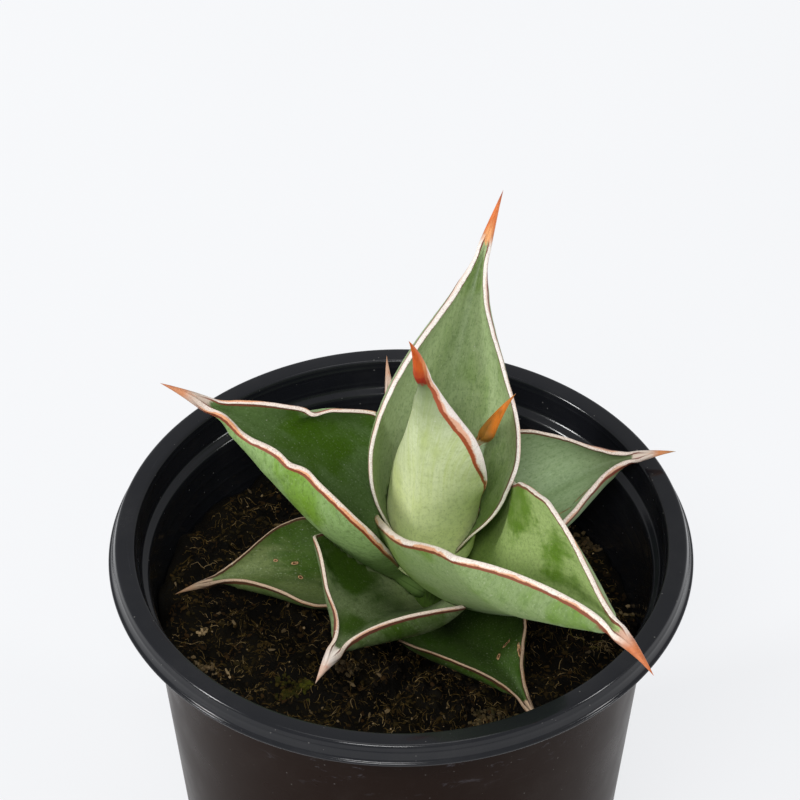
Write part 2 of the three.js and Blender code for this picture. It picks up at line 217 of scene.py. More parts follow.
def objectPlace(tree):
    # the object's own coordinates in millimetres
    place = addNode(tree, "ShaderNodeTexCoord").outputs["Object"]
    return stretched(tree, place, (1000.0, 1000.0, 1000.0))


def noiseAt(tree, place, scale=1.0, detail=2.0, rough=0.5, warp=0.0):
    inputs = {"Vector": place, "Scale": scale, "Detail": detail, "Roughness": rough, "Distortion": warp}
    return addNode(tree, "ShaderNodeTexNoise", inputs).outputs["Fac"]


def newMaterial(name):
    material = bpy.data.materials.new(name)
    material.use_nodes = True
    return material.node_tree, material.node_tree.nodes["Principled BSDF"]


def finishMaterial(tree, shader, color, rough, normal, level):
    tree.links.new(color, shader.inputs["Base Color"])
    tree.links.new(rough, shader.inputs["Roughness"])
    tree.links.new(normal, shader.inputs["Normal"])
    shader.inputs["Specular IOR Level"].default_value = level


def newGroup(name, inputs, outputs):
    group = bpy.data.node_groups.new(name, "ShaderNodeTree")
    for label, value in inputs.items():
        kind = {str: "NodeSocketColor", tuple: "NodeSocketVector", float: "NodeSocketFloat"}[type(value)]
        socket = group.interface.new_socket(label, in_out="INPUT", socket_type=kind)
        socket.default_value = paint(value) if isinstance(value, str) else value
    for label, kind in outputs.items():
        group.interface.new_socket(label, in_out="OUTPUT", socket_type="NodeSocket" + kind)
    entry = group.nodes.new("NodeGroupInput")
    leave = group.nodes.new("NodeGroupOutput")
    return group, entry.outputs, leave.inputs


def useGroup(tree, name, **inputs):
    node = tree.nodes.new("ShaderNodeGroup")
    node.node_tree = bpy.data.node_groups[name]
    for label, value in inputs.items():
        feed(tree, value, node.inputs[label])
    return node.outputs


def bumpFrom(tree, height, distance, strength, under=None):
    inputs = {"Height": height, "Distance": distance * millimetre, "Strength": strength}
    node = addNode(tree, "ShaderNodeBump", inputs)
    if under is not None:
        tree.links.new(under, node.inputs["Normal"])
    return node.outputs["Normal"]


# Short ways to make pieces
def meshFrom(bm, name):
    mesh = bpy.data.meshes.new(name)
    bm.to_mesh(mesh)
    bm.free()
    return mesh


def addObject(name, data):
    piece = bpy.data.objects.new(name, data)
    bpy.context.scene.collection.objects.link(piece)
    return piece


def toMetres(bm):
    bmesh.ops.scale(bm, vec=(millimetre,) * 3, verts=bm.verts)


def shadeSmooth(mesh, smooth):
    mesh.polygons.foreach_set("use_smooth", [smooth] * len(mesh.polygons))


def finishPiece(bm, name, material, stands=(), smooth=True):
    # to metres, into the scene, and onto the body that everything stands on
    toMetres(bm)
    piece = addObject(name, meshFrom(bm, name))
    shadeSmooth(piece.data, smooth)
    piece.data.materials.append(bpy.data.materials[material])
    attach(piece, "root")
    if stands:
        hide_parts(*stands)
    return piece


def madeMesh(piece):
    # the mesh that a curve or a piece's modifiers make
    bpy.context.view_layer.update()
    graph = bpy.context.evaluated_depsgraph_get()
    return bpy.data.meshes.new_from_object(piece.evaluated_get(graph))


def cutAway(piece, cutters):
    # the cuts are baked, so that no modifier is live afterwards
    for cutter in cutters:
        cut = piece.modifiers.new(cutter.name, "BOOLEAN")
        cut.operation = "DIFFERENCE"
        cut.solver = "MANIFOLD"
        cut.object = cutter
    made = madeMesh(piece)
    piece.modifiers.clear()
    piece.data = made
    shadeSmooth(made, True)


def newCurve(name, thick, roundness):
    curve = bpy.data.curves.new(name, "CURVE")
    curve.dimensions = "3D"
    curve.bevel_depth = thick
    curve.bevel_resolution = roundness
    curve.use_fill_caps = True
    return curve


def addTubes(bm, curve):
    # the tubes along a curve, as faces of this mesh
    holder = addObject(curve.name, curve)
    mesh = madeMesh(holder)
    bm.from_mesh(mesh)
    bpy.data.objects.remove(holder)
    bpy.data.meshes.remove(mesh)


# Shader groups that several materials share
def makeLeafSkinGroup():
    # wax bloom rubbed off in blotches, with streaks and pores along the leaf,
    # painted shade in the groove of the upper face, and painted light and shade at the foot
    group, given, made = newGroup("leafSkin", {
        "Place": (0.0, 0.0, 0.0),  # millimetres across and along
        "Over": 0.0,  # 1 on the upper face
        # painted shade in the groove of the channel: 1 at the keel of the upper face
        "Deep": 0.0,  # 1 at the keel
        # the foot's share, where light and shade are painted
        "Low": 0.0,  # 1 at the foot
        "Bloom": "#9db08a",
        "Rubbed": "#5f8a2c",
        # dark green of the mottles, pores and fine lines, and of the painted shade in the groove
        "Shade": "#3c5c1c",
        # the foot's colour, with painted light and shade in it
        "Foot": "#86a03c",
        "Rub": 0.4,
        "Shift": 0.0,  # more rubbed above 0, more wax below it
        "Streak": 0.5,
        "Seed": 0.0,
    }, {"Color": "Color", "Roughness": "Float", "Height": "Float"})
    seeded = combined(group, given["Seed"], given["Seed"], given["Over"])
    seedPlace = stretched(group, seeded, (13.1, 7.7, 31.0))

    def layer(across, along, detail, rough=0.5, warp=0.0):
        place = stretched(group, given["Place"], (across, along, 0.0), seedPlace)
        return noiseAt(group, place, 1.0, detail, rough, warp)

    blotches = layer(0.05, 0.032, 4.0, 0.62, 0.6)
    smear = layer(0.22, 0.05, 3.0, 0.6, 0.4)
    line = layer(1.5, 0.035, 3.0, 0.6)
    fineLine = layer(4.5, 0.16, 2.0)
    band = layer(0.55, 0.024, 3.0, 0.6)
    pore = layer(2.4, 1.5, 2.0, 0.55)
    mottle = layer(0.9, 0.55, 4.0, 0.7)
    worn = timesPlus(group, smear, 0.35, times(group, blotches, 0.65))
    edgeOfRub = timesPlus(group, given["Rub"], -0.34, 0.69)
    above = minus(group, plus(group, worn, given["Shift"]), edgeOfRub)
    streakShare = times(group, mapRange(group, line, 0.46, 0.76), times(group, given["Streak"], 0.6))
    bandShare = times(group, mapRange(group, band, 0.47, 0.66), times(group, given["Streak"], 0.55))
    fineShare = times(group, mapRange(group, fineLine, 0.35, 0.8, 0.0, 0.35), given["Streak"])
    # painted shade at the bottom of the channel
    grooveShadeMask = times(group, given["Deep"], mapRange(group, smear, 0.25, 0.75, 0.45, 1.0))
    color = washed(
        group, given["Bloom"],
        (mapRange(group, above, -0.09, 0.14), given["Rubbed"]),
        (streakShare, given["Rubbed"]),
        (bandShare, given["Rubbed"]),
        (fineShare, given["Shade"]),
        (calculate(group, "POWER", given["Low"], 2.2), given["Foot"]),
        (times(group, grooveShadeMask, 0.55), given["Shade"]),
        (mapRange(group, mottle, 0.42, 0.75, 0.0, 0.5), given["Shade"]),
        (mapRange(group, pore, 0.56, 0.72, 0.0, 0.5), given["Shade"]),
        (mapRange(group, pore, 0.42, 0.25, 0.0, 0.25), "#c9d3b4"),
    )
    rough = mapRange(group, above, -0.05, 0.07, 0.56, 0.36)
    rough = timesPlus(group, pore, 0.12, rough)
    height = timesPlus(group, pore, 0.5, times(group, line, 0.5))
    group.links.new(color, made["Color"])
    group.links.new(rough, made["Roughness"])
    group.links.new(height, made["Height"])


def makeMarginGroup():
    # dry papery margin between two red-brown lines
    group, given, made = newGroup("paperMargin", {
        "Place": (0.0, 0.0, 0.0),
        "Edge": 0.0,  # -1 to 1 across the margin, and beyond it by millimetres on the faces
        "Paper": "#e9ddcf",
        "Tint": "#d9793a",  # the margin's lower side, where light comes through
        "Line": "#7a2c12",
        "Wear": 0.3,
        "Seed": 0.0,
    }, {"Color": "Color", "Mask": "Float", "Height": "Float"})
    seedPlace = combined(group, given["Seed"], 0.0, given["Seed"])

    def lengthwise(scale):
        return stretched(group, given["Place"], (0.0, scale, 0.0), seedPlace)

    fibrePlace = summed(group, lengthwise(1.3), combined(group, given["Edge"], 0.0, 0.0))
    wobble = noiseAt(group, lengthwise(0.45), 1.0, 4.0, 0.65)
    flake = noiseAt(group, fibrePlace, 2.2, 4.0, 0.7)
    patches = noiseAt(group, lengthwise(0.12), 1.0, 2.0)
    edge = timesPlus(group, minus(group, wobble, 0.5), 0.5, given["Edge"])
    size = calculate(group, "ABSOLUTE", edge)
    mask = mapRange(group, size, 1.62, 1.48)
    dulled = timesPlus(group, given["Wear"], 0.6, 0.25)
    tintSide = minus(group, mapRange(group, patches, 0.35, 0.65, -0.8, 0.1), edge)
    speck = addNode(group, "ShaderNodeTexVoronoi", {"Vector": fibrePlace, "Scale": 1.5})
    color = washed(
        group, given["Paper"],
        (times(group, mapRange(group, flake, 0.35, 0.75), dulled), "#b79a84"),
        (mapRange(group, tintSide, 0.0, 0.45, 0.0, 0.85), given["Tint"]),
        (times(group, mapRange(group, flake, 0.52, 0.66), given["Wear"]), "#6b4a33"),
        (times(group, mapRange(group, size, 0.86, 1.0), 0.95), given["Line"]),
        (mapRange(group, speck.outputs["Distance"], 0.16, 0.09, 0.0, 0.8), "#3a1d12"),
    )
    rise = mapRange(group, size, 1.2, 0.7)
    height = timesPlus(group, flake, 0.35, rise)
    group.links.new(color, made["Color"])
    group.links.new(mask, made["Mask"])
    group.links.new(height, made["Height"])


def makeDustGroup():
    # small pale specks of dust and splashed grit
    group, given, made = newGroup("dustSpecks", {
        "Place": (0.0, 0.0, 0.0),
        "Scale": 0.5,
        "Amount": 0.2,
    }, {"Mask": "Float"})
    cells = addNode(group, "ShaderNodeTexVoronoi", {"Vector": given["Place"], "Scale": given["Scale"]})
    tone = addNode(group, "ShaderNodeSeparateColor", {"Color": cells.outputs["Color"]})
    chosen = calculate(group, "LESS_THAN", tone.outputs[0], given["Amount"])
    radius = timesPlus(group, tone.outputs[1], 0.16, 0.05)
    inside = minus(group, radius, cells.outputs["Distance"])
    spot = mapRange(group, inside, 0.0, 0.04)
    group.links.new(times(group, chosen, spot), made["Mask"])


def makeScratchGroup():
    # faint scratches that run one way
    group, given, made = newGroup("scratches", {
        "Place": (0.0, 0.0, 0.0),
        "Amount": 0.5,
    }, {"Mask": "Float"})
    warp = noiseAt(group, given["Place"], 0.05, 2.0)
    scores = noiseAt(group, summed(group, given["Place"], warp), 1.0, 5.0, 0.75)
    group.links.new(mapRange(group, scores, 0.6, 0.74, 0.0, given["Amount"]), made["Mask"])


# The leaves, from the youngest in the middle out to the oldest at the soil.
# Angles are degrees. A side is 1 for the left half and -1 for the right one, seen from the foot.
# heading, turn and curl give the direction that a leaf grows in, from +X towards +Y.
# foot is where its keel starts; rise is its angle above level at the foot, middle and tip.
# roll turns the blade about its keel; half is the width of half the blade over its curve.
# footShare is the share of that width at the foot; widest and spineAt are places along the leaf.
# fold is how far each half folds up at the foot, middle and spine; lopsided adds to the left half.
# heel is how far the foot runs back; spine is the spine's radius, keel the thickness at the keel.
# edge is the thickness of the left and right margins, and wave how far they wander.
# bends are local bends of a margin: side, place and length as shares of the leaf, then
# millimetres outward and upward.
# Some leaves have more. opening folds one half less and bevel slants its margin: side, degrees,
# and the places where that starts and is full. knees gives the share of a half over which it
# folds up most, and its last slope as a share of the fold. narrow is a share of a half's width,
# and thinEnd where the margins reach their full thickness.
leaves = {
    "leaf_01": {
        "heading": 28, "turn": -6, "curl": -5, "foot": (9.8, 2.5, 129.6), "length": 57.5,
        "rise": (71, 70.5, 46.5), "roll": (3, 8.5), "half": 9, "footShare": 0.7, "widest": 0.3,
        "spineAt": 0.735, "fold": (85, 70, 106), "heel": 3, "lopsided": 0, "spine": 2.4, "keel": 3,
        "edge": (1.4, 1.4), "wave": 0.15, "bends": [],
    },
    "leaf_02": {
        "heading": -122.5, "turn": -5.5, "curl": 2, "foot": (4.3, -4.8, 135), "length": 85,
        "rise": (88.5, 93.5, 61), "roll": (9.5, -6), "half": 19, "footShare": 0.86, "widest": 0.28,
        "spineAt": 0.79, "fold": (44.5, 53, 105), "heel": 0.5,
        "opening": (1, 42, 0.15, 0.5), "bevel": (1, 50, 0.2, 0.5), "lopsided": 3, "spine": 2.3, "keel": 3.9,
        "edge": (1.7, 1.4), "wave": 0.2, "bends": [(1, 0.53, 0.175, 4, -0.1), (1, 0.34, 0.15, -2.9, 0.7)],
    },
    "leaf_03": {
        "heading": 73.5, "turn": -6.5, "curl": -11.5, "foot": (7.6, 12.9, 126), "length": 100,
        "rise": (80, 50.5, 42), "roll": (3.5, 20.5), "half": 31, "footShare": 0.6, "widest": 0.33,
        "spineAt": 0.835, "fold": (77, 51, 62), "heel": 1, "lopsided": 6.5, "spine": 1.9, "keel": 4.5,
        "bevel": (1, 35, 0.3, 0.5), "edge": (1.1, 1.15), "wave": 0.3,
        "bends": [(1, 0.2, 0.08, 1.6, 0.4), (-1, 0.2, 0.06, 1.7, -0.5)],
    },
    "leaf_04": {
        "heading": -60.5, "turn": 3, "curl": -7.5, "foot": (15.5, -2.5, 127), "length": 114,
        "rise": (24, 37.5, -10), "roll": (-14.5, 22.5), "half": 33, "footShare": 0.93, "widest": 0.55,
        "spineAt": 0.84, "fold": (55, 64, 79.5), "heel": 8, "lopsided": 16, "spine": 2.5, "keel": 5,
        "knees": {1: (0.2, 0.95)}, "narrow": {1: 0.8}, "thinEnd": 0.12,
        "edge": (1.4, 2.0), "wave": 0.3,
        "bends": [
            (1, 0.62, 0.23, -0.7, -0.6), (1, 0.33, 0.19, 0.7, 4.1), (-1, 0.7, 0.08, 1.4, 0.3),
            (-1, 0.08, 0.1, 2.4, 3.9),
        ],
    },
    "leaf_05": {
        "heading": 172, "turn": 4, "curl": -2, "foot": (0.5, 7.5, 125), "length": 87,
        "rise": (45, 45.5, 22.5), "roll": (-20.5, -23.5), "half": 31, "footShare": 0.26, "widest": 0.36,
        "spineAt": 0.83, "fold": (56, 58.5, 71), "heel": 9, "lopsided": 1, "spine": 2.3, "keel": 5,
        "edge": (1.8, 1.2), "wave": 0.4,
        "bends": [
            (1, 0.59, 0.026, 0.9, -0.3), (1, 0.55, 0.026, -0.5, 0.2), (1, 0.7, 0.06, 0.8, -2.2),
            (-1, 0.587, 0.02, -1.5, -0.4), (-1, 0.71, 0.1, 1.6, 2.3), (-1, 0.49, 0.076, 1.2, -1),
        ],
    },
    "leaf_06": {
        "heading": 25, "turn": -10.5, "curl": -9.5, "foot": (12, 7, 118), "length": 74,
        "rise": (45, 21.5, -8), "roll": (4, 37.5), "half": 21, "footShare": 0.6, "widest": 0.45,
        "spineAt": 0.84, "fold": (63, 41.5, 77), "heel": 2, "lopsided": -2.5, "spine": 1.8, "keel": 4.5,
        "edge": (1.3, 1.5), "wave": 0.45, "bends": [],
    },
    "leaf_07": {
        "heading": 102, "turn": -9, "curl": -7, "foot": (6, 9.5, 114), "length": 69.5,
        "rise": (42.5, 22, 11.5), "roll": (1.5, -0.5), "half": 19.5, "footShare": 0.6, "widest": 0.42,
        "spineAt": 0.8, "fold": (73, 39, 81), "heel": 2, "lopsided": 0, "spine": 1.5, "keel": 4.5,
        "edge": (1.5, 1.5), "wave": 0.35, "bends": [],
    },
    "leaf_08": {
        "heading": -121, "turn": 5.5, "curl": -1, "foot": (5, -3, 117), "length": 61.5,
        "rise": (39, 25.5, -22.5), "roll": (2, -20), "half": 27, "footShare": 0.54, "widest": 0.45,
        "spineAt": 0.82, "fold": (52, 31.5, 71), "heel": 9, "lopsided": 5, "spine": 2.4, "keel": 4.5,
        "edge": (1.1, 1.1), "wave": 0.3, "bends": [(-1, 0.64, 0.07, 0.8, -3)],
    },
    "leaf_09": {
        "heading": 179.5, "turn": 11.5, "curl": 5.5, "foot": (0.5, 0.5, 115), "length": 64,
        "rise": (28, 8.5, -24), "roll": (-3, -3), "half": 17.5, "footShare": 0.62, "widest": 0.42,
        "spineAt": 0.84, "fold": (55.5, 27.5, 53.5), "heel": 4, "lopsided": -2, "spine": 1.4, "keel": 4,
        "edge": (0.9, 0.85), "wave": 0.5, "bends": [],
    },
    "leaf_10": {
        "heading": -59.5, "turn": -3.5, "curl": -2.5, "foot": (9, -3, 113.5), "length": 59,
        "rise": (20, 11.5, -22), "roll": (-1.5, 15), "half": 22, "footShare": 0.6, "widest": 0.31,
        "spineAt": 0.84, "fold": (55.5, 25.5, 56.5), "heel": 4, "lopsided": -3.5, "spine": 1.5, "keel": 4,
        "edge": (1, 0.65), "wave": 0.6, "bends": [(1, 0.5, 0.04, -1.4, 0)],
    },
}

# What all leaves share. Lengths are millimetres, and places and shares are between 0 and 1.
leafForm = {
    "faceSteps": 20,  # points from keel to margin on one face
    "bandSteps": 8,  # points across the thickness of a margin
    "rows": 170,  # sections along a leaf
    "heelRows": 3,  # sections of the heel, which runs back from the foot
    "keelSteps": 4,  # steps of the keel's path in each row
    "mergeReach": 0.0005,  # points nearer to each other than this are one
    "cutter": (9, 4, 70),  # face steps, band steps and rows of the shape that trims older leaves
    "giveWay": 0.2,  # an older leaf stays this far off a younger one
    "wrapped": ["leaf_03"],  # and wholly out of the channel of these
    "bendPlace": 0.3,  # where a leaf has its plain heading
    "heelShare": 0.85,  # width at the heel's end
    "grooveStart": 0.4,  # slope beside the keel, as a share of the fold
    "grooveRadius": 3.0,  # rounds the bottom of the channel
    "keelRound": 0.16,  # share of the under face that rounds the keel
    "neck": 0.4,  # past the widest place, where the keel starts to thin out
    "neckTaper": 0.5,  # and by how much it has done so at the spine
    "narrowSpan": (0.3, 0.75, 0.85),  # where narrow is full, starts to fade and has faded
    "thinFoot": 0.5,  # thickness of the margins at the foot
    "thinEnd": 0.3,  # and where they are full
    "bandOverhang": 1.04,  # how far a margin stands over both faces
    "bandBulge": 0.3,  # and how far it rounds out, as a share of its thickness
    "lump": 0.16,  # unevenness of the skin
    "lumpSize": 7,
    "underLump": 0.6,  # share of it on the under face
    "waveLength": 9,
    "rippleLength": 2.6,  # of the finer wave on the margins' waves
    "rippleShare": 0.35,
    "waveLean": 0.7,  # radians by which a wandering margin moves off its own slope
    "spineBlend": 0.06,  # over which a blade turns into its spine
    "spineGroove": (34, 3, 0.3),  # degrees of half the groove, open and closed, and its depth
    "spineMargin": (60, 34),  # degrees of a margin round the spine, before and after it closes
    "spineClosing": (0.55, 0.5),  # places on the spine where the groove is closed, and level
}


def leafAxes(leaf, t):
    past = t - leafForm["bendPlace"]
    heading = math.radians(leaf["heading"] + leaf["turn"] * past + leaf["curl"] * past * past)
    rise = math.radians(through(leaf["rise"], t))
    along = Vector((math.cos(heading) * math.cos(rise), math.sin(heading) * math.cos(rise), math.sin(rise)))
    across = Vector((-math.sin(heading), math.cos(heading), 0))
    above = along.cross(across)
    roll = math.radians(mixed(leaf["roll"][0], leaf["roll"][1], t))
    side = across * math.cos(roll) + above * math.sin(roll)
    face = above * math.cos(roll) - across * math.sin(roll)
    return along, side, face


def leafGirth(leaf, t):
    widest, spineAt, spine = leaf["widest"], leaf["spineAt"], leaf["spine"]
    before = min(t / widest, 1)
    past = min(max((t - widest) / (spineAt - widest), 0), 1)
    spineLeft = min(max((1 - t) / (1 - spineAt), 0), 1)
    foldFoot, foldMiddle, foldTip = leaf["fold"]
    if t < widest:
        width = leaf["half"] * mixed(leaf["footShare"], 1, math.sin(math.pi / 2 * before))
        fold = mixed(foldFoot, foldMiddle, ease(before))
    else:
        width = spine * max(spineLeft, 0.05) + (leaf["half"] - spine) * (1 - ease(past))
        fold = mixed(foldMiddle, foldTip, past ** 1.5)
    neck = ease((past - leafForm["neck"]) / (1 - leafForm["neck"]))
    girth = {
        "width": width,
        "keel": min(leaf["keel"], width * 0.9) * (1 - leafForm["neckTaper"] * neck),
        "spine": spine * spineLeft,
    }
    thin = mixed(leafForm["thinFoot"], 1, ease(t / leaf.get("thinEnd", leafForm["thinEnd"])))
    full, fading, faded = leafForm["narrowSpan"]
    blade = ease(t / full) * (1 - ease((t - fading) / (faded - fading)))
    for side in (1, -1):
        wide = width * (1 - (1 - leaf.get("narrow", {}).get(side, 1)) * blade)
        tilt = turned(leaf, "bevel", side, t)
        edge = min(leaf["edge"][0 if side > 0 else 1] * thin, width * 0.6)
        lean = side * leaf["lopsided"] * (1 - ease(past))
        middle = math.radians(fold + lean - turned(leaf, "opening", side, t))
        knee, last = leaf.get("knees", {}).get(side, (0.5, 2 - leafForm["grooveStart"]))
        girth[side] = {
            "width": wide,
            "start": middle * leafForm["grooveStart"],
            "middle": middle,
            "end": middle * last,
            "knee": knee,  # the share of the width over which the half folds up most
            "edge": edge,
            "cut": min(edge * math.tan(math.radians(tilt)) / width, 0.4),
        }
    return girth


def faceLine(half, v):
    # place across and above the keel on the upper face, and its slope there
    turns = [(half["start"], half["middle"], half["knee"])]
    turns.append((half["middle"], half["end"], 1 - half["knee"]))
    x = y = slope = 0
    for first, last, share in turns:
        bend = half["width"] * share / (last - first)
        slope = first + (last - first) * min(v / share, 1)
        x += bend * (math.sin(slope) - math.sin(first))
        y += bend * (math.cos(first) - math.cos(slope))
        v -= share
        if v <= 0:
            break
    return x, y, slope


def turned(leaf, kind, side, t):
    # degrees by which one half is opened, or its margin bevelled, at a place along the leaf
    if kind not in leaf or leaf[kind][0] != side:
        return 0
    degrees, start, full = leaf[kind][1:]
    return degrees * ease((t - start) / (full - start))


def planRing(face, band):
    # the parts of a leaf's section in turn, from the upper left corner round under the keel
    spread = [(1 - math.cos(math.pi * i / face)) / 2 for i in range(face + 1)]
    across = [1 - 2 * (i + 0.5) / band for i in range(band)]
    plan = [("band", 1, s) for s in across]
    plan += [("under", 1, v) for v in reversed(spread)]
    plan += [("under", -1, v) for v in spread[1:]]
    plan += [("band", -1, -s) for s in across]
    plan += [("over", -1, v) for v in reversed(spread)]
    plan += [("over", 1, v) for v in spread[1:]]
    return plan


def bladePoint(girth, part, side, share):
    half = girth[side]
    start = half["start"]

    def skin(v, thick):
        x, y, slope = faceLine(half, v)
        return Vector((x + thick * math.sin(slope), y - thick * math.cos(slope)))

    if part == "under":
        v = max(share - leafForm["keelRound"], 0) / (1 - leafForm["keelRound"]) * (1 - half["cut"])
        thick = half["edge"] + (girth["keel"] - half["edge"]) * (1 - v * v)
        if v > 0:
            point = skin(v, thick)
        else:
            angle = start * share / leafForm["keelRound"]
            point = Vector((thick * math.sin(angle), -thick * math.cos(angle)))
    elif part == "over":
        point = skin(share, 0)
        radius = min(leafForm["grooveRadius"], girth["width"] * 0.5)
        if point.x < radius * math.sin(start):
            point.y = radius / math.cos(start) - math.sqrt(radius * radius - point.x * point.x)
    else:
        v = 1 - half["cut"]
        outer = skin(v, half["edge"] + (girth["keel"] - half["edge"]) * (1 - v * v))
        inner = skin(1, 0)
        across = (inner - outer) / 2
        outward = Vector((across.y, -across.x)) * leafForm["bandBulge"] * 2
        bulge = outward * math.sqrt(1 - share * share)
        point = (inner + outer) / 2 + across * share * leafForm["bandOverhang"] + bulge
    return Vector((side * point.x, point.y))


def spinePoint(leaf, girth, t, part, side, share):
    # round spine whose upper groove closes between the two running-out margins
    spinePlace = min(max((t - leaf["spineAt"]) / (1 - leaf["spineAt"]), 0), 1)
    closed, level = leafForm["spineClosing"]
    closing = ease(spinePlace / closed)
    openHalf, closedHalf, deepest = leafForm["spineGroove"]
    overHalf = math.radians(mixed(openHalf, closedHalf, closing))
    bandArc = math.radians(mixed(*leafForm["spineMargin"], closing))
    depth = deepest * (1 - ease(spinePlace / level))
    radius = girth["spine"]
    if part == "over":
        turn = overHalf * share
        radius *= 1 - depth * (1 - share * share)
    elif part == "band":
        turn = overHalf + bandArc * (1 - share) / 2
    else:
        turn = math.pi - (math.pi - overHalf - bandArc) * share
    return Vector((side * radius * math.sin(turn), radius * math.cos(turn)))


def marginShift(leaf, t, side, end, seed):
    # how far a margin strays from its plain line, across and above
    along = t * leaf["length"]
    ripple = leaf["wave"] * leafForm["rippleShare"]
    wave = noise.noise(Vector((along / leafForm["waveLength"], 3.7 * side, seed))) * leaf["wave"]
    wave += noise.noise(Vector((along / leafForm["rippleLength"], 5.1 * side, seed + 40))) * ripple
    lean = end - leafForm["waveLean"]
    shift = Vector((side * math.cos(lean), math.sin(lean))) * wave
    for way, place, length, outward, upward in leaf["bends"]:
        if way == side:
            shift += Vector((side * outward, upward)) * math.exp(-((t - place) / length) ** 2)
    return shift


def growLeaf(leaf, seed, face, band, rows, grow=0.0, filled=False):
    plan = planRing(face, band)
    heelRows = leafForm["heelRows"]
    bm = bmesh.new()
    bmesh.ops.create_grid(bm, x_segments=len(plan), y_segments=rows, size=1)
    skin = bm.verts.layers.float_vector.new("skin")  # across, along, share of the length
    rim = bm.verts.layers.float_vector.new("rim")  # across the margin, keel to margin, upper face
    keelSteps = rows * leafForm["keelSteps"]
    keel = [Vector(leaf["foot"])]
    for i in range(keelSteps):
        along = leafAxes(leaf, (i + 0.5) / keelSteps)[0]
        keel.append(keel[-1] + along * leaf["length"] / keelSteps)
    rings = {}
    for vert in bm.verts:
        rings.setdefault(round((vert.co.y + 1) / 2 * rows), []).append(vert)
    for row, verts in rings.items():
        t = max(row - heelRows, 0) / (rows - heelRows)
        along, sideWay, faceWay = leafAxes(leaf, t)
        behind = max(heelRows - row, 0) / heelRows
        centre = keel[round(t * keelSteps)] - along * leaf["heel"] * behind
        half = leaf["half"] * mixed(1, leafForm["heelShare"], behind)
        girth = leafGirth({**leaf, "half": half}, t)
        toSpine = ease((t - leaf["spineAt"] + leafForm["spineBlend"]) / (1.5 * leafForm["spineBlend"]))
        free = 1 - toSpine
        shifts = {way: marginShift(leaf, t, way, girth[way]["end"], seed) * free for way in (1, -1)}
        for vert in verts:
            part, side, share = plan[round((vert.co.x + 1) / 2 * len(plan)) % len(plan)]
            point = bladePoint(girth, part, side, share)
            if filled and part == "over":
                own, other = [bladePoint(girth, part, way, 1) for way in (side, -side)]
                point = Vector((own.x * share, mixed((own.y + other.y) / 2, own.y, share)))
            out = 1 if part == "band" else share
            point += shifts[side] * out ** 3
            point = point.lerp(spinePoint(leaf, girth, t, part, side, share), toSpine)
            place = centre + sideWay * point.x + faceWay * point.y
            lump = noise.noise(place / leafForm["lumpSize"] + Vector((seed, 0, 0)))
            lump *= leafForm["lump"] * free
            place += faceWay * lump * (1 if part == "over" else leafForm["underLump"])
            vert.co = place
            over = {"over": 1, "under": 0, "band": (share + 1) / 2}[part]
            beyond = 1 + (1 - share) * girth["width"]
            edge = share if part == "band" else beyond * (1 if part == "over" else -1)
            vert[skin] = (side * girth["width"] * out, t * leaf["length"], t)
            vert[rim] = (edge, out, over)
    bmesh.ops.remove_doubles(bm, verts=bm.verts, dist=leafForm["mergeReach"])
    ends = [e for e in bm.edges if e.is_boundary]
    bmesh.ops.holes_fill(bm, edges=ends, sides=0)
    bmesh.ops.recalc_face_normals(bm, faces=bm.faces)
    if grow:
        bm.normal_update()
        for vert in bm.verts:
            vert.co += vert.normal * grow
    return bm


def keepLargest(piece):
    # what a younger leaf has cut off stays out
    bm = bmesh.new()
    bm.from_mesh(piece.data)
    left = set(bm.faces)
    parts = []
    while left:
        reached = {left.pop()}
        front = list(reached)
        while front:
            face = front.pop()
            for edge in face.edges:
                for other in edge.link_faces:
                    if other in left:
                        left.discard(other)
                        reached.add(other)
                        front.append(other)
        parts.append(reached)
    parts.sort(key=len)
    for part in parts[:-1]:
        bmesh.ops.delete(bm, geom=list(part), context="FACES")
    loose = [v for v in bm.verts if not v.link_faces]
    bmesh.ops.delete(bm, geom=loose, context="VERTS")
    bm.to_mesh(piece.data)
    bm.free()
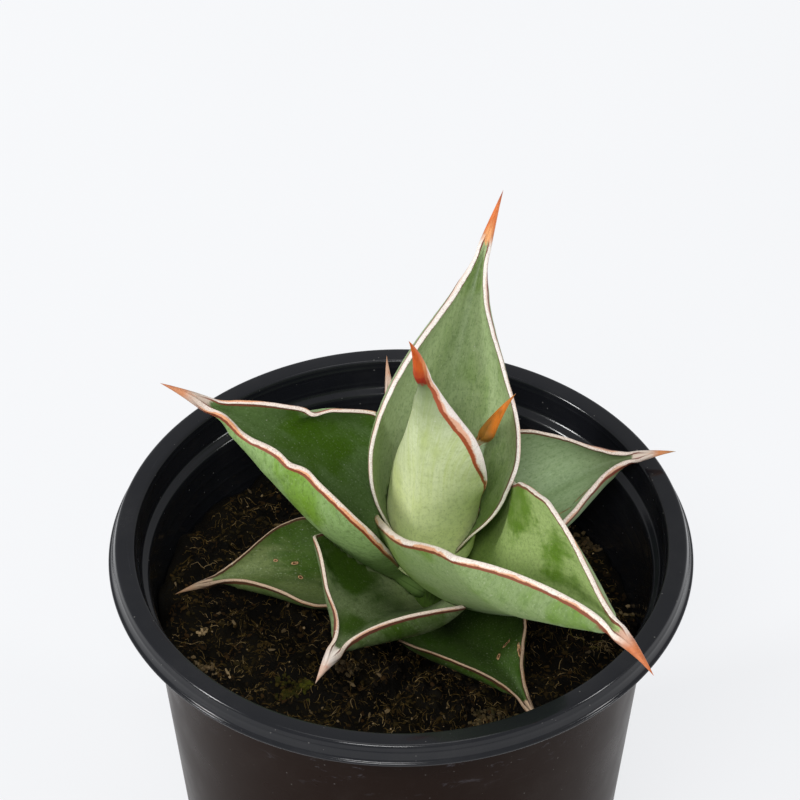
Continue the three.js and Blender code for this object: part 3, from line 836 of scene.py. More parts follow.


# Finish of each leaf. bloom is the wax on its under face and over the wax on the upper one.
# rub is how much of the wax is rubbed off, down to rubbed, or rubbedUnder on the under face.
# The keel's tint and its share give a painted bluish sheen on the under face near the keel; tip is painted
# shade near the spine.
# footReach is how far the foot's colour reaches, which holds painted light on leaf_02 and leaf_08 and
# painted shade on leaf_03 and leaf_09. margin gives the colours of its paper, its lower side and its lines,
# and how scabby it is; runOut is where it is last full on the spine, and gone.
# horn gives the spine's colours at its base, middle and tip, and where the margins close on it;
# hornTilt is how much further down it reaches on the under face than on the upper one.
# shade is the dark green of mottles, pores and fine lines, and of the painted shade in the groove.
leafLooks = {
    "leaf_01": {
        "bloom": "#a3b693", "over": "#8fa676", "rubbed": "#7d9c4a", "shade": "#5f7a3c", "foot": "#7d9c4a",
        "rub": 0.3, "streak": 0.5,
        "margin": ("#efe2d6", "#dc9a6a", "#8a3a18", 0.15),
        "horn": ("#6e4a14", "#dc7a12", "#b86a1c", "#a8702a"),
        "runOut": (-0.02, -0.2),
    },
    "leaf_02": {
        # leaf_02's colours are lighter than its own as painted light on its lower body; tip is painted
        # shade.
        "bloom": "#ced8b2", "over": "#a0b07e", "rubbed": "#acbd62", "shade": "#a3b278", "foot": "#e6efb0",
        "tip": "#586a40", "keelSheen": 0, "footReach": 0.95, "rub": 0.3, "streak": 1.0,
        "margin": ("#f6ece4", "#e5a27c", "#a0431c", 0.08),
        "horn": ("#96200e", "#cc5818", "#cf6a24", "#dd8848"),
    },
    "leaf_03": {
        # foot is painted shade, low on the leaf where the leaves in front shade it
        "bloom": "#94a874", "over": "#a6b886", "rubbed": "#829f52", "shade": "#4e6834", "foot": "#36520f",
        "footReach": 0.45, "rub": 0.3, "streak": 0.35,
        "margin": ("#f8f0e8", "#e6cbb8", "#7a2812", 0.2),
        "horn": ("#6c2618", "#d87434", "#b5592c", "#e6a064"),
        "runOut": (0.25, 0.05), "hornTilt": 0.32,
    },
    "leaf_04": {
        "bloom": "#879c66", "over": "#adc27b", "rubbed": "#668a24", "shade": "#4d6a2e", "foot": "#86a24e",
        "rub": 0.32, "streak": 0.25,
        "margin": ("#f6ebde", "#dd9a6a", "#7c3a1c", 0.25),
        "horn": ("#853a20", "#c87444", "#c0662f", "#d6ac94"),
        "runOut": (0.45, 0.15), "hornTilt": 0.3,
    },
    "leaf_05": {
        # over is darker than the upper face's own green: painted shade in the channel
        "bloom": "#8caa68", "over": "#5e7a42", "rubbed": "#476a12", "shade": "#3a5412", "foot": "#84a65a",
        "rubbedUnder": "#749a30", "keelSheenTint": "#9cc4aa", "rub": 0.36, "streak": 0.25,
        "margin": ("#efe0d4", "#e2955a", "#7c3410", 0.3),
        "horn": ("#b04a20", "#c9865c", "#b8704a", "#c9b6a6"),
        "hornTilt": 0.2,
    },
    "leaf_06": {
        "bloom": "#98b08a", "over": "#9fb38a", "rubbed": "#7f9a5c", "shade": "#607a48", "foot": "#526c2c",
        # tip is painted shade: a darker band across the leaf near the spine
        "tip": "#5a683c", "rub": 0.22, "streak": 0.3,
        "margin": ("#eedfd2", "#cf9c7c", "#7c3420", 0.5),
        "horn": ("#a8502c", "#cc8450", "#a08052", "#dccaba"),
    },
    "leaf_07": {
        "bloom": "#7c9064", "over": "#6c8454", "rubbed": "#4f7028", "shade": "#3a5420", "foot": "#4c6c20",
        "rub": 0.35, "streak": 0.3,
        "margin": ("#e2cdbb", "#c98a6a", "#6c3420", 0.4),
        "horn": ("#a8603c", "#c9a084", "#b88868", "#d3b8a4"),
    },
    "leaf_08": {
        # foot is painted light on the low face that the leaves above shade
        "bloom": "#748458", "over": "#829066", "rubbed": "#3f5c14", "shade": "#2c3e14", "foot": "#a3b37c",
        "rub": 0.42, "streak": 0.25,
        "margin": ("#dccbbb", "#cf9a78", "#5c2a1a", 0.3),
        "horn": ("#bc4e1c", "#d0b09c", "#b89c84", "#e2d6cc"),
    },
    "leaf_09": {
        # foot is painted shade from the leaves above
        "bloom": "#687a44", "over": "#6b7a42", "rubbed": "#3e5a12", "shade": "#2c400c", "foot": "#2c440a",
        "footReach": 0.6, "rub": 0.45, "streak": 0.22,
        "margin": ("#b59c80", "#ab8460", "#4c2c18", 0.7),
        "horn": ("#94683c", "#b89474", "#a07c5a", "#bfa386"),
    },
    "leaf_10": {
        # all colours darker than the leaf's own green: painted shade from the leaves above
        "bloom": "#445c1c", "over": "#375011", "rubbed": "#2c4c06", "shade": "#1d3005", "foot": "#1f3205",
        "rub": 0.5, "streak": 0.22,
        "margin": ("#9c8468", "#8f6440", "#3c2214", 0.9),
        "horn": ("#84603c", "#a88462", "#94704c", "#b0957a"),
    },
}

# Large rubbed or waxy places: millimetres across and along, half width, half length,
# how far it is rubbed (waxy below 0), and whether on the upper face
leafPatches = {
    "leaf_02": [
        (5, 47, 5, 7, 0.06, 0), (-7.5, 25, 4, 9, 0.1, 0), (3, 12, 15, 5, 0.25, 0),
    ],
    "leaf_03": [
        (-21, 49, 5, 8, 0.05, 1), (16, 36, 8, 15, -0.12, 1), (-23, 25, 8, 12, 0.18, 1),
        (2, 76, 6, 7, 0.16, 1),
    ],
    "leaf_04": [
        (28, 35, 12, 20, 0.19, 1), (17, 13, 9, 8, -0.18, 1), (15, 42, 6, 10, -0.12, 1),
        (12, 67, 13, 15, 0.16, 1), (-17, 74, 6, 6, 0.08, 0), (-7, 84, 7, 7, 0.14, 0),
    ],
    "leaf_05": [
        (-10, 43, 10, 12, 0.2, 1), (-4, 63, 10, 9, -0.25, 1), (20, 46, 8, 12, 0.14, 0),
        (18, 63, 9, 12, 0.17, 0), (24, 18, 12, 14, -0.2, 0),
    ],
    "leaf_08": [
        (-2.6, 40, 5, 7, 0.14, 1), (-16, 22, 8, 12, 0.2, 1), (9, 20, 8, 16, -0.3, 1),
    ],
    "leaf_09": [(-8, 26, 10, 12, 0.22, 1), (-4, 46, 6, 8, -0.2, 1)],
    "leaf_10": [(-2.7, 42, 4, 6, -0.2, 1)],
}

# Corky scars and scratches: millimetres across and along, length across, length along, turn
leafScars = {
    "leaf_06": [(-9, 44, 0.35, 2.6, 20), (-11, 38, 0.3, 1.8, -15)],
    "leaf_09": [(-4.4, 36, 0.4, 0.55, 0), (-4.1, 31, 0.45, 1.0, 10), (0, 29.3, 0.62, 0.62, 0)],
    "leaf_10": [(6.2, 29.7, 0.36, 1.7, 92), (2.3, 31.1, 0.45, 1, 135), (7.6, 36.6, 0.8, 2.7, -19)],
}


def patchShift(tree, name, skin, upper):
    # how much more than elsewhere the wax is rubbed off in the large places
    uneven = noiseAt(tree, stretched(tree, skin, (0.3, 0.16, 0.0)), 1.0, 3.0)
    uneven = timesPlus(tree, uneven, 1.2, -0.6)
    shift = 0.0
    for x, y, wide, long, amount, above in leafPatches.get(name, []):
        moved = stretched(tree, skin, (1 / wide, 1 / long, 0.0), (-x / wide, -y / long, 0.0))
        reach = plus(tree, lengthOf(tree, moved), uneven)
        face = upper if above else minus(tree, 1.0, upper)
        shift = plus(tree, shift, times(tree, mapRange(tree, reach, 1.3, 0.4, 0.0, amount), face))
    return shift


def hornColor(tree, look, spinePlace, raggedPlace, upper, grain):
    base, middle, tip, top = look["horn"]
    return washed(
        tree, base,
        (mapRange(tree, raggedPlace, 0.0, 0.3), middle),
        (mapRange(tree, spinePlace, 0.65, 1.0), tip),
        (mapRange(tree, grain, 0.48, 0.7, 0.0, 0.45), base),
        (times(tree, upper, mapRange(tree, raggedPlace, 0.55, 0.2)), top),
    )


def makeLeafMaterial(name, leaf, look, seed):
    tree, shader = newMaterial(name + "Skin")
    skin = readAttribute(tree, "skin")
    place = separated(tree, skin)[2]  # share of the leaf's length
    edge, out, upper = separated(tree, readAttribute(tree, "rim"))
    # painted sheen: the under face turns bluer towards the keel
    keelSheen = mapRange(tree, out, 0.55, 0.0, 0.0, look.get("keelSheen", 0.5))
    under = mixColor(tree, keelSheen, look["bloom"], look.get("keelSheenTint", "#86a690"))
    surface = useGroup(
        tree, "leafSkin", Place=skin, Over=upper, Seed=float(seed),
        # painted shade in the groove on the upper face
        Deep=times(tree, mapRange(tree, out, 0.34, 0.0), upper),
        # painted light and shade at the foot, out to footReach
        Low=mapRange(tree, place, look.get("footReach", 0.34), 0.02),
        Bloom=mixColor(tree, upper, under, look["over"]),
        Rubbed=mixColor(tree, upper, look.get("rubbedUnder", look["rubbed"]), look["rubbed"]),
        Shade=look["shade"], Foot=look["foot"], Rub=look["rub"], Streak=look["streak"],
        Shift=patchShift(tree, name, skin, upper),
    )
    color, height = surface["Color"], surface["Height"]
    # painted shade towards the spine
    if "tip" in look:
        tipShadeShare = mapRange(tree, place, leaf["spineAt"] - 0.26, leaf["spineAt"], 0.0, 0.85)
        color = mixColor(tree, tipShadeShare, color, look["tip"])
    for scar in leafScars.get(name, []):
        color, height = addScar(tree, color, height, skin, upper, scar)

    paper, tint, line, wear = look["margin"]
    margin = useGroup(
        tree, "paperMargin", Place=skin, Edge=edge, Paper=paper, Tint=tint, Line=line, Wear=wear,
        Seed=float(seed),
    )
    ragged = noiseAt(tree, stretched(tree, skin, (1.1, 0.5, 0.0)), 1.0, 3.0)
    pastSpine = minus(tree, place, leaf["spineAt"])
    spinePlace = calculate(tree, "DIVIDE", pastSpine, 1 - leaf["spineAt"])
    raggedPlace = timesPlus(tree, minus(tree, ragged, 0.5), 0.22, spinePlace)
    tilt = look.get("hornTilt", 0)
    hornPlace = plus(tree, raggedPlace, timesPlus(tree, upper, -tilt, tilt / 2))
    spineMask = mapRange(tree, hornPlace, -0.12, -0.02)
    grain = noiseAt(tree, stretched(tree, skin, (2.4, 0.22, 0.0)), 1.0, 3.0)
    runOut = mapRange(tree, raggedPlace, *look.get("runOut", (0.62, 0.25)))
    fromFoot = mapRange(tree, place, 0.02, 0.06)
    marginShare = times(tree, margin["Mask"], times(tree, runOut, fromFoot))
    marginColor = washed(
        tree, margin["Color"],
        (mapRange(tree, spinePlace, 0.0, 0.4), look["horn"][3]),
        (mapRange(tree, place, 0.26, 0.04, 0.0, 0.8), "#86784a"),
    )
    dust = useGroup(tree, "dustSpecks", Place=skin, Scale=0.8, Amount=0.08)
    color = washed(
        tree, color,
        (spineMask, hornColor(tree, look, spinePlace, raggedPlace, upper, grain)),
        (marginShare, marginColor),
        (times(tree, dust["Mask"], 0.35), "#e3e0d6"),
    )
    bare = calculate(tree, "MAXIMUM", marginShare, spineMask)
    rough = mapRange(tree, bare, 0.0, 1.0, surface["Roughness"], 0.5, "LINEAR")
    raised = plus(tree, times(tree, margin["Height"], marginShare), times(tree, grain, spineMask))
    normal = bumpFrom(tree, raised, 0.22, 0.8, bumpFrom(tree, height, 0.1, 0.55))
    finishMaterial(tree, shader, color, rough, normal, 0.45)


def addScar(tree, color, height, skin, over, scar):
    x, y, wide, long, turn = scar
    moved = stretched(tree, skin, (1.0, 1.0, 0.0), (-x, -y, 0.0))
    turning = {"Vector": moved, "Angle": math.radians(turn)}
    spun = addNode(tree, "ShaderNodeVectorRotate", turning, rotation_type="Z_AXIS").outputs[0]
    size = lengthOf(tree, stretched(tree, spun, (1 / wide, 1 / long, 0.0)))
    uneven = timesPlus(tree, minus(tree, noiseAt(tree, skin, 1.6, 3.0), 0.5), 1.1, size)
    cork = mixColor(tree, mapRange(tree, uneven, 0.45, 0.8), "#5a3a20", "#c79a6c")
    color = washed(
        tree, color,
        (times(tree, mapRange(tree, uneven, 1.7, 1.0, 0.0, 0.7), over), "#34320c"),
        (times(tree, mapRange(tree, uneven, 1.08, 0.92), over), cork),
    )
    lip = times(tree, mapRange(tree, uneven, 1.2, 0.85), mapRange(tree, uneven, 0.3, 0.7, 0.2, 1.0))
    return color, timesPlus(tree, times(tree, lip, over), 3.0, height)


def makeLeaves():
    cutters = []
    for number, (name, leaf) in enumerate(leaves.items(), 1):
        seed = number * 3.7
        makeLeafMaterial(name, leaf, leafLooks[name], seed)
        bm = growLeaf(leaf, seed, leafForm["faceSteps"], leafForm["bandSteps"], leafForm["rows"])
        blade = finishPiece(bm, "blade_" + name[-2:], name + "Skin", [name])
        if cutters:
            cutAway(blade, cutters)
            keepLargest(blade)
        filled = name in leafForm["wrapped"]
        grown = growLeaf(leaf, seed, *leafForm["cutter"], leafForm["giveWay"], filled)
        toMetres(grown)
        cutters.append(addObject(name + "Cutter", meshFrom(grown, name + "Cutter")))
        print(name, "trimmed", len(blade.data.polygons), "faces")
    for cutter in cutters:
        bpy.data.objects.remove(cutter)
    print("leaves grown:", len(leaves))


# The nursery pot of thin glossy plastic
pot = {
    "height": 140, "ridgeRadius": 76, "bandWidth": 5.1, "lipFlare": 1.1, "beadRadius": 77.9,
    "beadHeight": 134.6, "beadHalf": 0.4, "shoulderHeight": 131, "collarFootRadius": 69.4,
    "mouthRadius": 67.1, "footRadius": 53.7, "wall": 1, "floor": 1.6,
    "segments": 256, "rounding": 0.95, "roundingSteps": 4,
    "drainCount": 8, "drainRadius": 4.5, "drainRing": 50, "drainReach": 3,
    "moldRings": 15,  # faint lines left in the wall by the mould
    "dust": "#8d8a86", "stain": "#8f8f9a", "scratch": "#b9bbc0",
    "stainBand": (106, 124, 130, 132),  # heights where stains begin, are full, thin out and end
    # colour, gloss, relief of the mould rings, roughness and strength of the stains
    "finishes": {
        "potBlack": ("#16171b", 0.34, 0.45, 0.1, 0.0),
        "potWall": ("#1f140f", 0.02, 0.0, 0.26, 0.16),
    },
}


def wallRadius(z):
    # the outside of the tapering wall
    top = pot["mouthRadius"] + pot["wall"]
    return pot["footRadius"] + (top - pot["footRadius"]) / pot["shoulderHeight"] * z


def potProfile():
    height, wall, floor = pot["height"], pot["wall"], pot["floor"]
    bandInner = pot["ridgeRadius"] - pot["bandWidth"]
    lipRadius = pot["ridgeRadius"] + pot["lipFlare"]
    step = pot["collarFootRadius"] - pot["mouthRadius"]
    shoulder = pot["shoulderHeight"]
    aboveDrains = pot["drainReach"] + 2
    bead, half = pot["beadHeight"], pot["beadHalf"]
    points = [
        (0, 0),
        (pot["footRadius"], 0),
        (wallRadius(aboveDrains), aboveDrains),
        (wallRadius(shoulder - wall), shoulder - wall),
        (wallRadius(shoulder - wall) + step, shoulder),
        (bandInner + wall, height - wall),
        (pot["ridgeRadius"] - wall, height - wall),
        (lipRadius - wall, bead - half),
        (pot["beadRadius"], bead - half),
        (pot["beadRadius"], bead + half),
        (lipRadius, bead + 2 * half),
        (pot["ridgeRadius"], height),
        (bandInner, height),
        (pot["collarFootRadius"], shoulder + wall),
        (pot["mouthRadius"], shoulder - wall / 3),
        (wallRadius(aboveDrains) - wall, aboveDrains),
        (wallRadius(floor) - wall, floor),
        (0, floor),
    ]
    return softened(points, pot["rounding"], pot["roundingSteps"])


def softened(points, reach, steps):
    # each corner becomes a short curve that starts and ends this far from it
    made = [points[0]]
    for before, corner, after in zip(points, points[1:], points[2:]):
        corner = Vector(corner)
        arms = [Vector(other) - corner for other in (before, after)]
        first, last = [corner + arm * min(reach / arm.length, 0.45) for arm in arms]
        for i in range(steps + 1):
            share = i / steps
            spot = first.lerp(corner, share).lerp(corner.lerp(last, share), share)
            made.append(tuple(spot))
    made.append(points[-1])
    return made


def spinProfile(bm, points, segments):
    verts = [bm.verts.new((r, 0, z)) for r, z in points]
    edges = [bm.edges.new(pair) for pair in zip(verts, verts[1:])]
    bmesh.ops.spin(
        bm, geom=verts + edges, cent=(0, 0, 0), axis=(0, 0, 1), angle=2 * math.pi,
        steps=segments, use_merge=True,
    )
    bmesh.ops.remove_doubles(bm, verts=bm.verts, dist=0.001)
    bmesh.ops.recalc_face_normals(bm, faces=bm.faces)


def makePlastic(name):
    base, level, ripple, polish, stainShare = pot["finishes"][name]
    tree, shader = newMaterial(name)
    place = objectPlace(tree)
    x, y, z = separated(tree, place)
    around = calculate(tree, "ARCTAN2", y, x)
    radius = lengthOf(tree, stretched(tree, place, (1.0, 1.0, 0.0)))
    wrapped = combined(tree, times(tree, around, 2.2), times(tree, z, 0.9), times(tree, radius, 0.9))
    scratch = useGroup(tree, "scratches", Place=wrapped, Amount=0.55)["Mask"]
    smudge = noiseAt(tree, stretched(tree, place, (0.16, 0.16, 0.3)), 1.0, 5.0, 0.72, 0.5)
    begin, full, thin, end = pot["stainBand"]
    underRim = minus(tree, mapRange(tree, z, begin, full), mapRange(tree, z, thin, end))
    stain = times(tree, mapRange(tree, smudge, 0.58, 0.66), underRim)
    fine = noiseAt(tree, place, 0.9, 4.0, 0.6)
    broad = noiseAt(tree, place, 0.05, 3.0, 0.6)
    clouds = mapRange(tree, broad, 0.45, 0.75, 0.0, 0.025)
    film = times(tree, clouds, mapRange(tree, fine, 0.3, 0.7, 0.5, 1.0))
    specks = useGroup(tree, "dustSpecks", Place=place, Scale=0.8, Amount=0.12)["Mask"]
    color = washed(
        tree, base,
        (film, pot["dust"]),
        (times(tree, specks, 0.28), pot["dust"]),
        (times(tree, stain, stainShare), pot["stain"]),
        (times(tree, scratch, 0.03), pot["scratch"]),
    )
    rough = mapRange(tree, broad, 0.3, 0.7, polish, polish + 0.08)
    rough = timesPlus(tree, scratch, 0.25, rough)
    rough = timesPlus(tree, specks, 0.4, rough)
    ringTurns = 2 * math.pi * pot["moldRings"] / pot["height"]
    rings = calculate(tree, "ABSOLUTE", calculate(tree, "SINE", times(tree, z, ringTurns)))
    sharp = calculate(tree, "POWER", rings, 16.0)
    relief = timesPlus(tree, sharp, ripple, times(tree, fine, 0.05))
    finishMaterial(tree, shader, color, rough, bumpFrom(tree, relief, 0.3, 0.6), level)


def drainCutters():
    bm = bmesh.new()
    for i in range(pot["drainCount"]):
        angle = 2 * math.pi * (i + 0.5) / pot["drainCount"]
        x, y = pot["drainRing"] * math.cos(angle), pot["drainRing"] * math.sin(angle)
        bmesh.ops.create_cone(
            bm, cap_ends=True, segments=32, radius1=pot["drainRadius"], radius2=pot["drainRadius"],
            depth=2 * pot["drainReach"], matrix=Matrix.Translation((x, y, 0)),
        )
    toMetres(bm)
    return addObject("drainCutters", meshFrom(bm, "drainCutters"))


def makePot():
    for name in pot["finishes"]:
        makePlastic(name)
    bm = bmesh.new()
    spinProfile(bm, potProfile(), pot["segments"])
    for face in bm.faces:
        centre = face.calc_center_median()
        beyond = math.hypot(centre.x, centre.y) - wallRadius(centre.z)
        if beyond > -pot["wall"] / 2 and centre.z < pot["shoulderHeight"] - pot["wall"]:
            face.material_index = 1  # the outside of the wall
    shell = finishPiece(bm, "potShell", "potBlack", ["nursery_pot"])
    shell.data.materials.append(bpy.data.materials["potWall"])
    drains = drainCutters()
    cutAway(shell, [drains])
    bpy.data.objects.remove(drains)
    print("pot spun:", len(shell.data.polygons), "faces")


# Potting soil: a lumpy ground with loose crumbs, fibres, chips and a little moss on it
soil = {
    "level": 111.2, "slope": -0.1, "edgeDrop": 2.2, "edgeWidth": 9, "gap": 0.3,
    # height, length along x and y, and offset of each wave
    "waves": [(1.1, 31, 23, 0.7), (0.8, -14, 17, 2.1), (0.6, 9, -12, 4.4)],
    # depth, size and layer of the finer relief, and how far the ground sinks to make room for it
    "relief": [(1.3, 5.5, 3), (0.9, 2.1, 9), (0.35, 0.8, 15)], "sink": 0.7,
    "rings": 110, "segments": 320, "chamfer": 1.3,
    "crumbMargin": 1.6, "strandMargin": 3,  # kept clear along the wall
    # crumbs, grit and chips strewn all over: number, smallest and largest, flatness, longest
    # stretch, and how pale
    "strewn": [
        (8200, 0.15, 0.75, 0.7, 2.0, 0), (200, 0.15, 0.42, 0.9, 1.2, 0.8),
        (60, 0.4, 0.8, 0.35, 3.4, 0.35),
    ],
    "fibres": 4000, "strandSteps": 4, "strandThick": 0.085, "strandLift": 0.45,
    "heapCrumb": (0.2, 0.65),  # smallest and largest in a heap
    # heaps of crumbs: place, spread, number, how green and how pale
    "heaps": [
        (-29.2, -28.6, 2.4, 150, 0.16, 0), (-25, -29.2, 0.9, 40, 0.42, 0), (-52.3, -25.2, 2.2, 60, 0, 0.22),
        (-14, -19.4, 2.2, 60, 0, 0.1), (-53.1, -9.7, 0.8, 14, 0, 0.6), (50, 34, 3.4, 120, 0, 0.13),
        (22.5, -35.5, 2.6, 110, 0.05, 0.1), (30, -35, 2.2, 50, 0.12, 0.08), (62, 9, 1.6, 24, 0.1, 0.3),
    ],
    # larger bits: place, length, width, heading and how pale
    "bits": [
        (-46.2, -25, 4.4, 1.1, -66, 0.5), (-45.5, -26.6, 1.4, 0.8, -60, 1),
        (61.6, 13.5, 1.5, 1.2, 20, 0.45),
    ],
    # tufts of fibres: place, spread, number, length of one step, thickness, how green and how pale
    "tufts": [
        (53.2, -5.6, 1.8, 22, 0.85, 0.8, 0, 0.75), (46.6, -1.6, 0.8, 6, 1.1, 1.3, 0.7, 0.1),
        (-53.3, 14.2, 0.3, 2, 0.9, 1.1, 0, 0.6), (-50.7, -8.4, 0.3, 2, 0.7, 1.5, 0, 0.6),
        (-56.4, -13.4, 0.2, 2, 1.2, 0.9, 0, 0.5), (-12.8, -36.9, 0.2, 1, 0.8, 1, 0, 0.5),
    ],
    "dark": "#050300", "brown": "#191207", "warm": "#3d2a12", "fibre": "#6f5a2c", "pale": "#b3986a",
    "olive": "#463c16", "moss": "#6e721a", "wood": "#cdb083",
}


def soilHeight(x, y):
    z = soil["level"] + soil["slope"] * x
    for height, alongX, alongY, offset in soil["waves"]:
        z += height * math.sin(2 * math.pi * (x / alongX + y / alongY) + offset)
    edge = wallRadius(soil["level"]) - pot["wall"] - math.hypot(x, y)
    near = max(0, 1 - edge / soil["edgeWidth"])
    return z - soil["edgeDrop"] * near * near


def soilRelief(x, y):
    z = soilHeight(x, y) - soil["sink"]
    for depth, size, layer in soil["relief"]:
        z += noise.noise(Vector((x / size, y / size, layer))) * depth
    return z


def soilReach(margin):
    return wallRadius(soil["level"]) - pot["wall"] - margin


def anySpot(draw, reach):
    radius = reach * math.sqrt(draw.random())
    angle = draw.uniform(0, 2 * math.pi)
    return radius * math.cos(angle), radius * math.sin(angle)


def heldInside(x, y, reach):
    share = min(1, reach / max(math.hypot(x, y), 1))
    return x * share, y * share


def makeSoil():
    makeSoilMaterials()
    bottom = pot["floor"] + soil["gap"]

    def inside(z):
        return wallRadius(z) - pot["wall"] - soil["gap"]

    rim = inside(soil["level"])
    chamfer = bottom + soil["chamfer"]
    points = [(0, bottom), (inside(bottom) - soil["chamfer"], bottom), (inside(chamfer), chamfer)]
    points += [(rim * i / soil["rings"], soil["level"]) for i in range(soil["rings"], -1, -1)]
    bm = bmesh.new()
    spinProfile(bm, points, soil["segments"])
    for vert in bm.verts:
        if vert.co.z > soil["level"] / 2:
            z = soilRelief(vert.co.x, vert.co.y)
            reach = math.hypot(vert.co.x, vert.co.y)
            pull = inside(z) / rim if reach > rim * 0.995 else 1  # the last ring keeps to the wall
            vert.co = (vert.co.x * pull, vert.co.y * pull, z)
    finishPiece(bm, "soilGround", "soilGround", ["potting_soil"])
    scatterCrumbs()
    layFibres()
    print("soil laid")


def makeSoilMaterials():
    for name, low, middle, high in (
        ("soilGround", "dark", "brown", "brown"),
        ("soilCrumbs", "dark", "brown", "warm"),
        ("soilFibres", "warm", "fibre", "pale"),
    ):
        tree, shader = newMaterial(name)
        place = objectPlace(tree)
        grain = noiseAt(tree, place, 1.6, 5.0, 0.7)
        broad = noiseAt(tree, place, 0.12, 2.0)
        tone, green, pale = separated(tree, readAttribute(tree, "tone"))
        share = timesPlus(tree, grain, 0.7, times(tree, tone, 0.8))
        share = timesPlus(tree, broad, 0.3, minus(tree, share, 0.35))
        damp = times(tree, mapRange(tree, broad, 0.44, 0.6, 0.0, 0.3), mapRange(tree, share, 0.1, 0.6))
        color = washed(
            tree, soil[low],
            (mapRange(tree, share, 0.1, 0.5), soil[middle]),
            (mapRange(tree, share, 0.55, 1.0), soil[high]),
            (damp, soil["olive"]),
            (green, soil["moss"]),
            (pale, soil["wood"]),
        )
        rough = mapRange(tree, grain, 0.3, 0.7, 0.6, 0.9)
        finishMaterial(tree, shader, color, rough, bumpFrom(tree, grain, 0.5, 0.9), 0.12)


def crumbShape(seed):
    draw = random.Random(seed)
    bm = bmesh.new()
    bmesh.ops.create_icosphere(bm, subdivisions=1, radius=1)
    for vert in bm.verts:
        vert.co *= draw.uniform(0.65, 1.25)
    return meshFrom(bm, "crumb")


def scatterCrumbs():
    draw = random.Random(11)
    shapes = [crumbShape(seed) for seed in range(8)]
    bm = bmesh.new()
    tone = bm.verts.layers.float_vector.new("tone")
    reach = soilReach(soil["crumbMargin"])
    for amount, smallest, largest, flatness, longest, pale in soil["strewn"]:
        for _ in range(amount):
            x, y = anySpot(draw, reach)
            size = mixed(smallest, largest, draw.random() ** 3)
            shade = draw.random()
            place = Matrix.Translation((x, y, soilRelief(x, y) + size * 0.1))
            spin = Matrix.Rotation(draw.uniform(0, 2 * math.pi), 4, "Z")
            spin = spin @ Matrix.Rotation(draw.uniform(-0.7, 0.7), 4, "X")
            stretch = Matrix.Diagonal((size * draw.uniform(1, longest), size, size * flatness, 1))
            shape = shapes[draw.randrange(len(shapes))]
            value = (shade, 0, pale * draw.uniform(0.3, 1))
            addCopy(bm, tone, shape, place @ spin @ stretch, value)
    for heapX, heapY, spread, amount, green, pale in soil["heaps"]:
        for _ in range(amount):
            x, y = heldInside(draw.gauss(heapX, spread), draw.gauss(heapY, spread * 0.7), reach)
            size = draw.uniform(*soil["heapCrumb"])
            place = Matrix.Translation((x, y, soilRelief(x, y) + size * 0.4))
            stretch = Matrix.Diagonal((size * draw.uniform(1, 1.8), size, size, 1))
            spin = Matrix.Rotation(draw.uniform(0, 2 * math.pi), 4, "Z")
            value = (draw.random(), green * draw.uniform(0.5, 1), pale * draw.uniform(0.2, 1.3))
            addCopy(bm, tone, shapes[draw.randrange(len(shapes))], place @ spin @ stretch, value)
    for x, y, length, width, heading, pale in soil["bits"]:
        place = Matrix.Translation((x, y, soilRelief(x, y) + width * 0.4))
        spin = Matrix.Rotation(math.radians(heading), 4, "Z")
        stretch = Matrix.Diagonal((length / 2, width / 2, width / 2, 1))
        addCopy(bm, tone, shapes[0], place @ spin @ stretch, (0.6, 0, pale))
    finishPiece(bm, "soilCrumbs", "soilCrumbs", smooth=False)


def addCopy(bm, tone, shape, matrix, value):
    count = len(bm.verts)
    copy = shape.copy()
    copy.transform(matrix)
    bm.from_mesh(copy)
    bpy.data.meshes.remove(copy)
    bm.verts.ensure_lookup_table()
    for i in range(count, len(bm.verts)):
        bm.verts[i][tone] = value


def layStrand(curve, draw, x, y, step, thick):
    reach = soilReach(soil["strandMargin"])
    heading = draw.uniform(0, 2 * math.pi)
    strand = curve.splines.new("POLY")
    strand.points.add(soil["strandSteps"])
    for i, point in enumerate(strand.points):
        x, y = heldInside(x, y, reach)
        share = i / soil["strandSteps"]
        lift = soil["strandLift"] * math.sin(math.pi * share) * draw.uniform(0, 1.6)
        point.co = (x, y, soilRelief(x, y) + 0.15 + lift, 1)
        point.radius = thick * (1 - 0.6 * share)
        x += step * math.cos(heading)
        y += step * math.sin(heading)
        heading += draw.uniform(-0.9, 0.9)


def layFibres():
    draw = random.Random(23)
    curve = newCurve("fibres", soil["strandThick"], 0)
    reach = soilReach(soil["strandMargin"])
    values = []
    for _ in range(soil["fibres"]):
        x, y = anySpot(draw, reach)
        layStrand(curve, draw, x, y, draw.uniform(0.2, 0.8), draw.uniform(0.4, 1.3))
        values.append((draw.random() ** 1.6, 0, 0))
    for tuftX, tuftY, spread, amount, step, thick, green, pale in soil["tufts"]:
        for _ in range(amount):
            layStrand(curve, draw, draw.gauss(tuftX, spread), draw.gauss(tuftY, spread), step, thick)
            values.append((0.8, green, pale * draw.uniform(0.5, 1)))
    bm = bmesh.new()
    addTubes(bm, curve)
    tone = bm.verts.layers.float_vector.new("tone")
    perStrand = len(bm.verts) // len(values)
    for i, vert in enumerate(bm.verts):
        vert[tone] = values[min(i // perStrand, len(values) - 1)]
    bmesh.ops.recalc_face_normals(bm, faces=bm.faces)
    finishPiece(bm, "soilFibres", "soilFibres")


# The short stem that the leaves sit on, with its roots in the soil
crown = {
    "x": 9, "y": 5,
    # radius and height up the stem
    "side": [(5.5, 84), (6.5, 96), (6.5, 110), (6, 117), (5.4, 124), (4.8, 130), (4, 134.5), (2.4, 137)],
    "bottom": 80, "top": 138, "segments": 48, "sideStep": 0.8,
    "scarEvery": 3.2, "scarDepth": 0.22,  # rings left by fallen leaves
    "rootStart": 88, "rootRadius": (2.6, 1.1), "bendSpread": 0.6, "bendDepth": 0.3, "rootSteps": 12,
    # heading, spread and depth of each root
    "roots": [(20, 30, 44), (92, 26, 52), (160, 33, 38), (231, 28, 50), (305, 31, 42)],
    "green": "#4d6a22", "tan": "#8c7a4a", "dark": "#2c3a10",
}


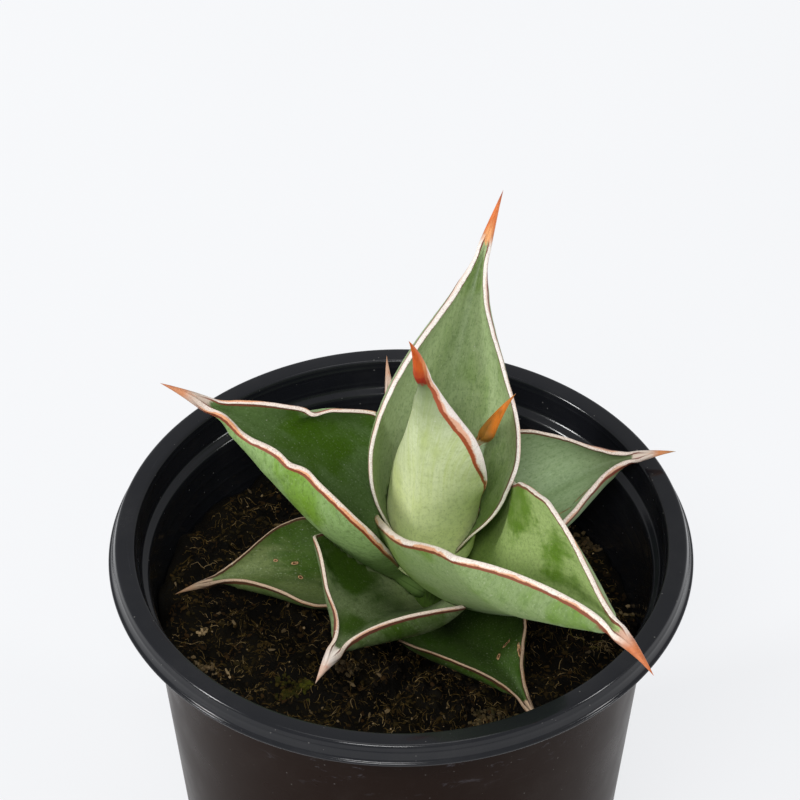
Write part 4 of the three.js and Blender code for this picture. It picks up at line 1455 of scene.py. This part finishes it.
def makeStem():
    tree, shader = newMaterial("stemSkin")
    place = objectPlace(tree)
    grain = noiseAt(tree, stretched(tree, place, (1.2, 1.2, 0.3)), 1.0, 4.0, 0.6)
    color = washed(
        tree, crown["tan"],
        (mapRange(tree, separated(tree, place)[2], 106.0, 116.0), crown["green"]),
        (mapRange(tree, grain, 0.45, 0.7, 0.0, 0.6), crown["dark"]),
    )
    rough = mapRange(tree, grain, 0.3, 0.7, 0.5, 0.75)
    finishMaterial(tree, shader, color, rough, bumpFrom(tree, grain, 0.3, 0.6), 0.5)

    side = [(0, crown["bottom"])]
    for (r0, z0), (r1, z1) in zip(crown["side"], crown["side"][1:]):
        steps = max(2, round((z1 - z0) / crown["sideStep"]))
        for i in range(steps):
            z = mixed(z0, z1, i / steps)
            notch = crown["scarDepth"] * (0.5 + 0.5 * math.cos(2 * math.pi * z / crown["scarEvery"])) ** 6
            side.append((mixed(r0, r1, i / steps) - notch, z))
    side += [crown["side"][-1], (0, crown["top"])]
    bm = bmesh.new()
    spinProfile(bm, side, crown["segments"])
    bmesh.ops.translate(bm, vec=(crown["x"], crown["y"], 0), verts=bm.verts)
    curve = newCurve("roots", 1, 3)
    first, last = crown["rootRadius"]
    for heading, spread, depth in crown["roots"]:
        a = math.radians(heading)
        way = Vector((math.cos(a), math.sin(a), 0))
        start = Vector((crown["x"], crown["y"], crown["rootStart"])) + way * first
        bend = start + way * spread * crown["bendSpread"] - Vector((0, 0, depth * crown["bendDepth"]))
        end = start + way * spread - Vector((0, 0, depth))
        run = curve.splines.new("POLY")
        run.points.add(crown["rootSteps"])
        for i, point in enumerate(run.points):
            s = i / crown["rootSteps"]
            spot = start * (1 - s) ** 2 + bend * 2 * s * (1 - s) + end * s * s
            point.co = (*spot, 1)
            point.radius = mixed(first, last, s) * 0.97  # just inside the plain root
    addTubes(bm, curve)
    bmesh.ops.recalc_face_normals(bm, faces=bm.faces)
    finishPiece(bm, "crownStem", "stemSkin", ["crown_stem"])
    print("stem made")


makeLeafSkinGroup()
makeMarginGroup()
makeDustGroup()
makeScratchGroup()
print("shader groups made")
setUpStudio()
makePot()
makeSoil()
makeStem()
makeLeaves()
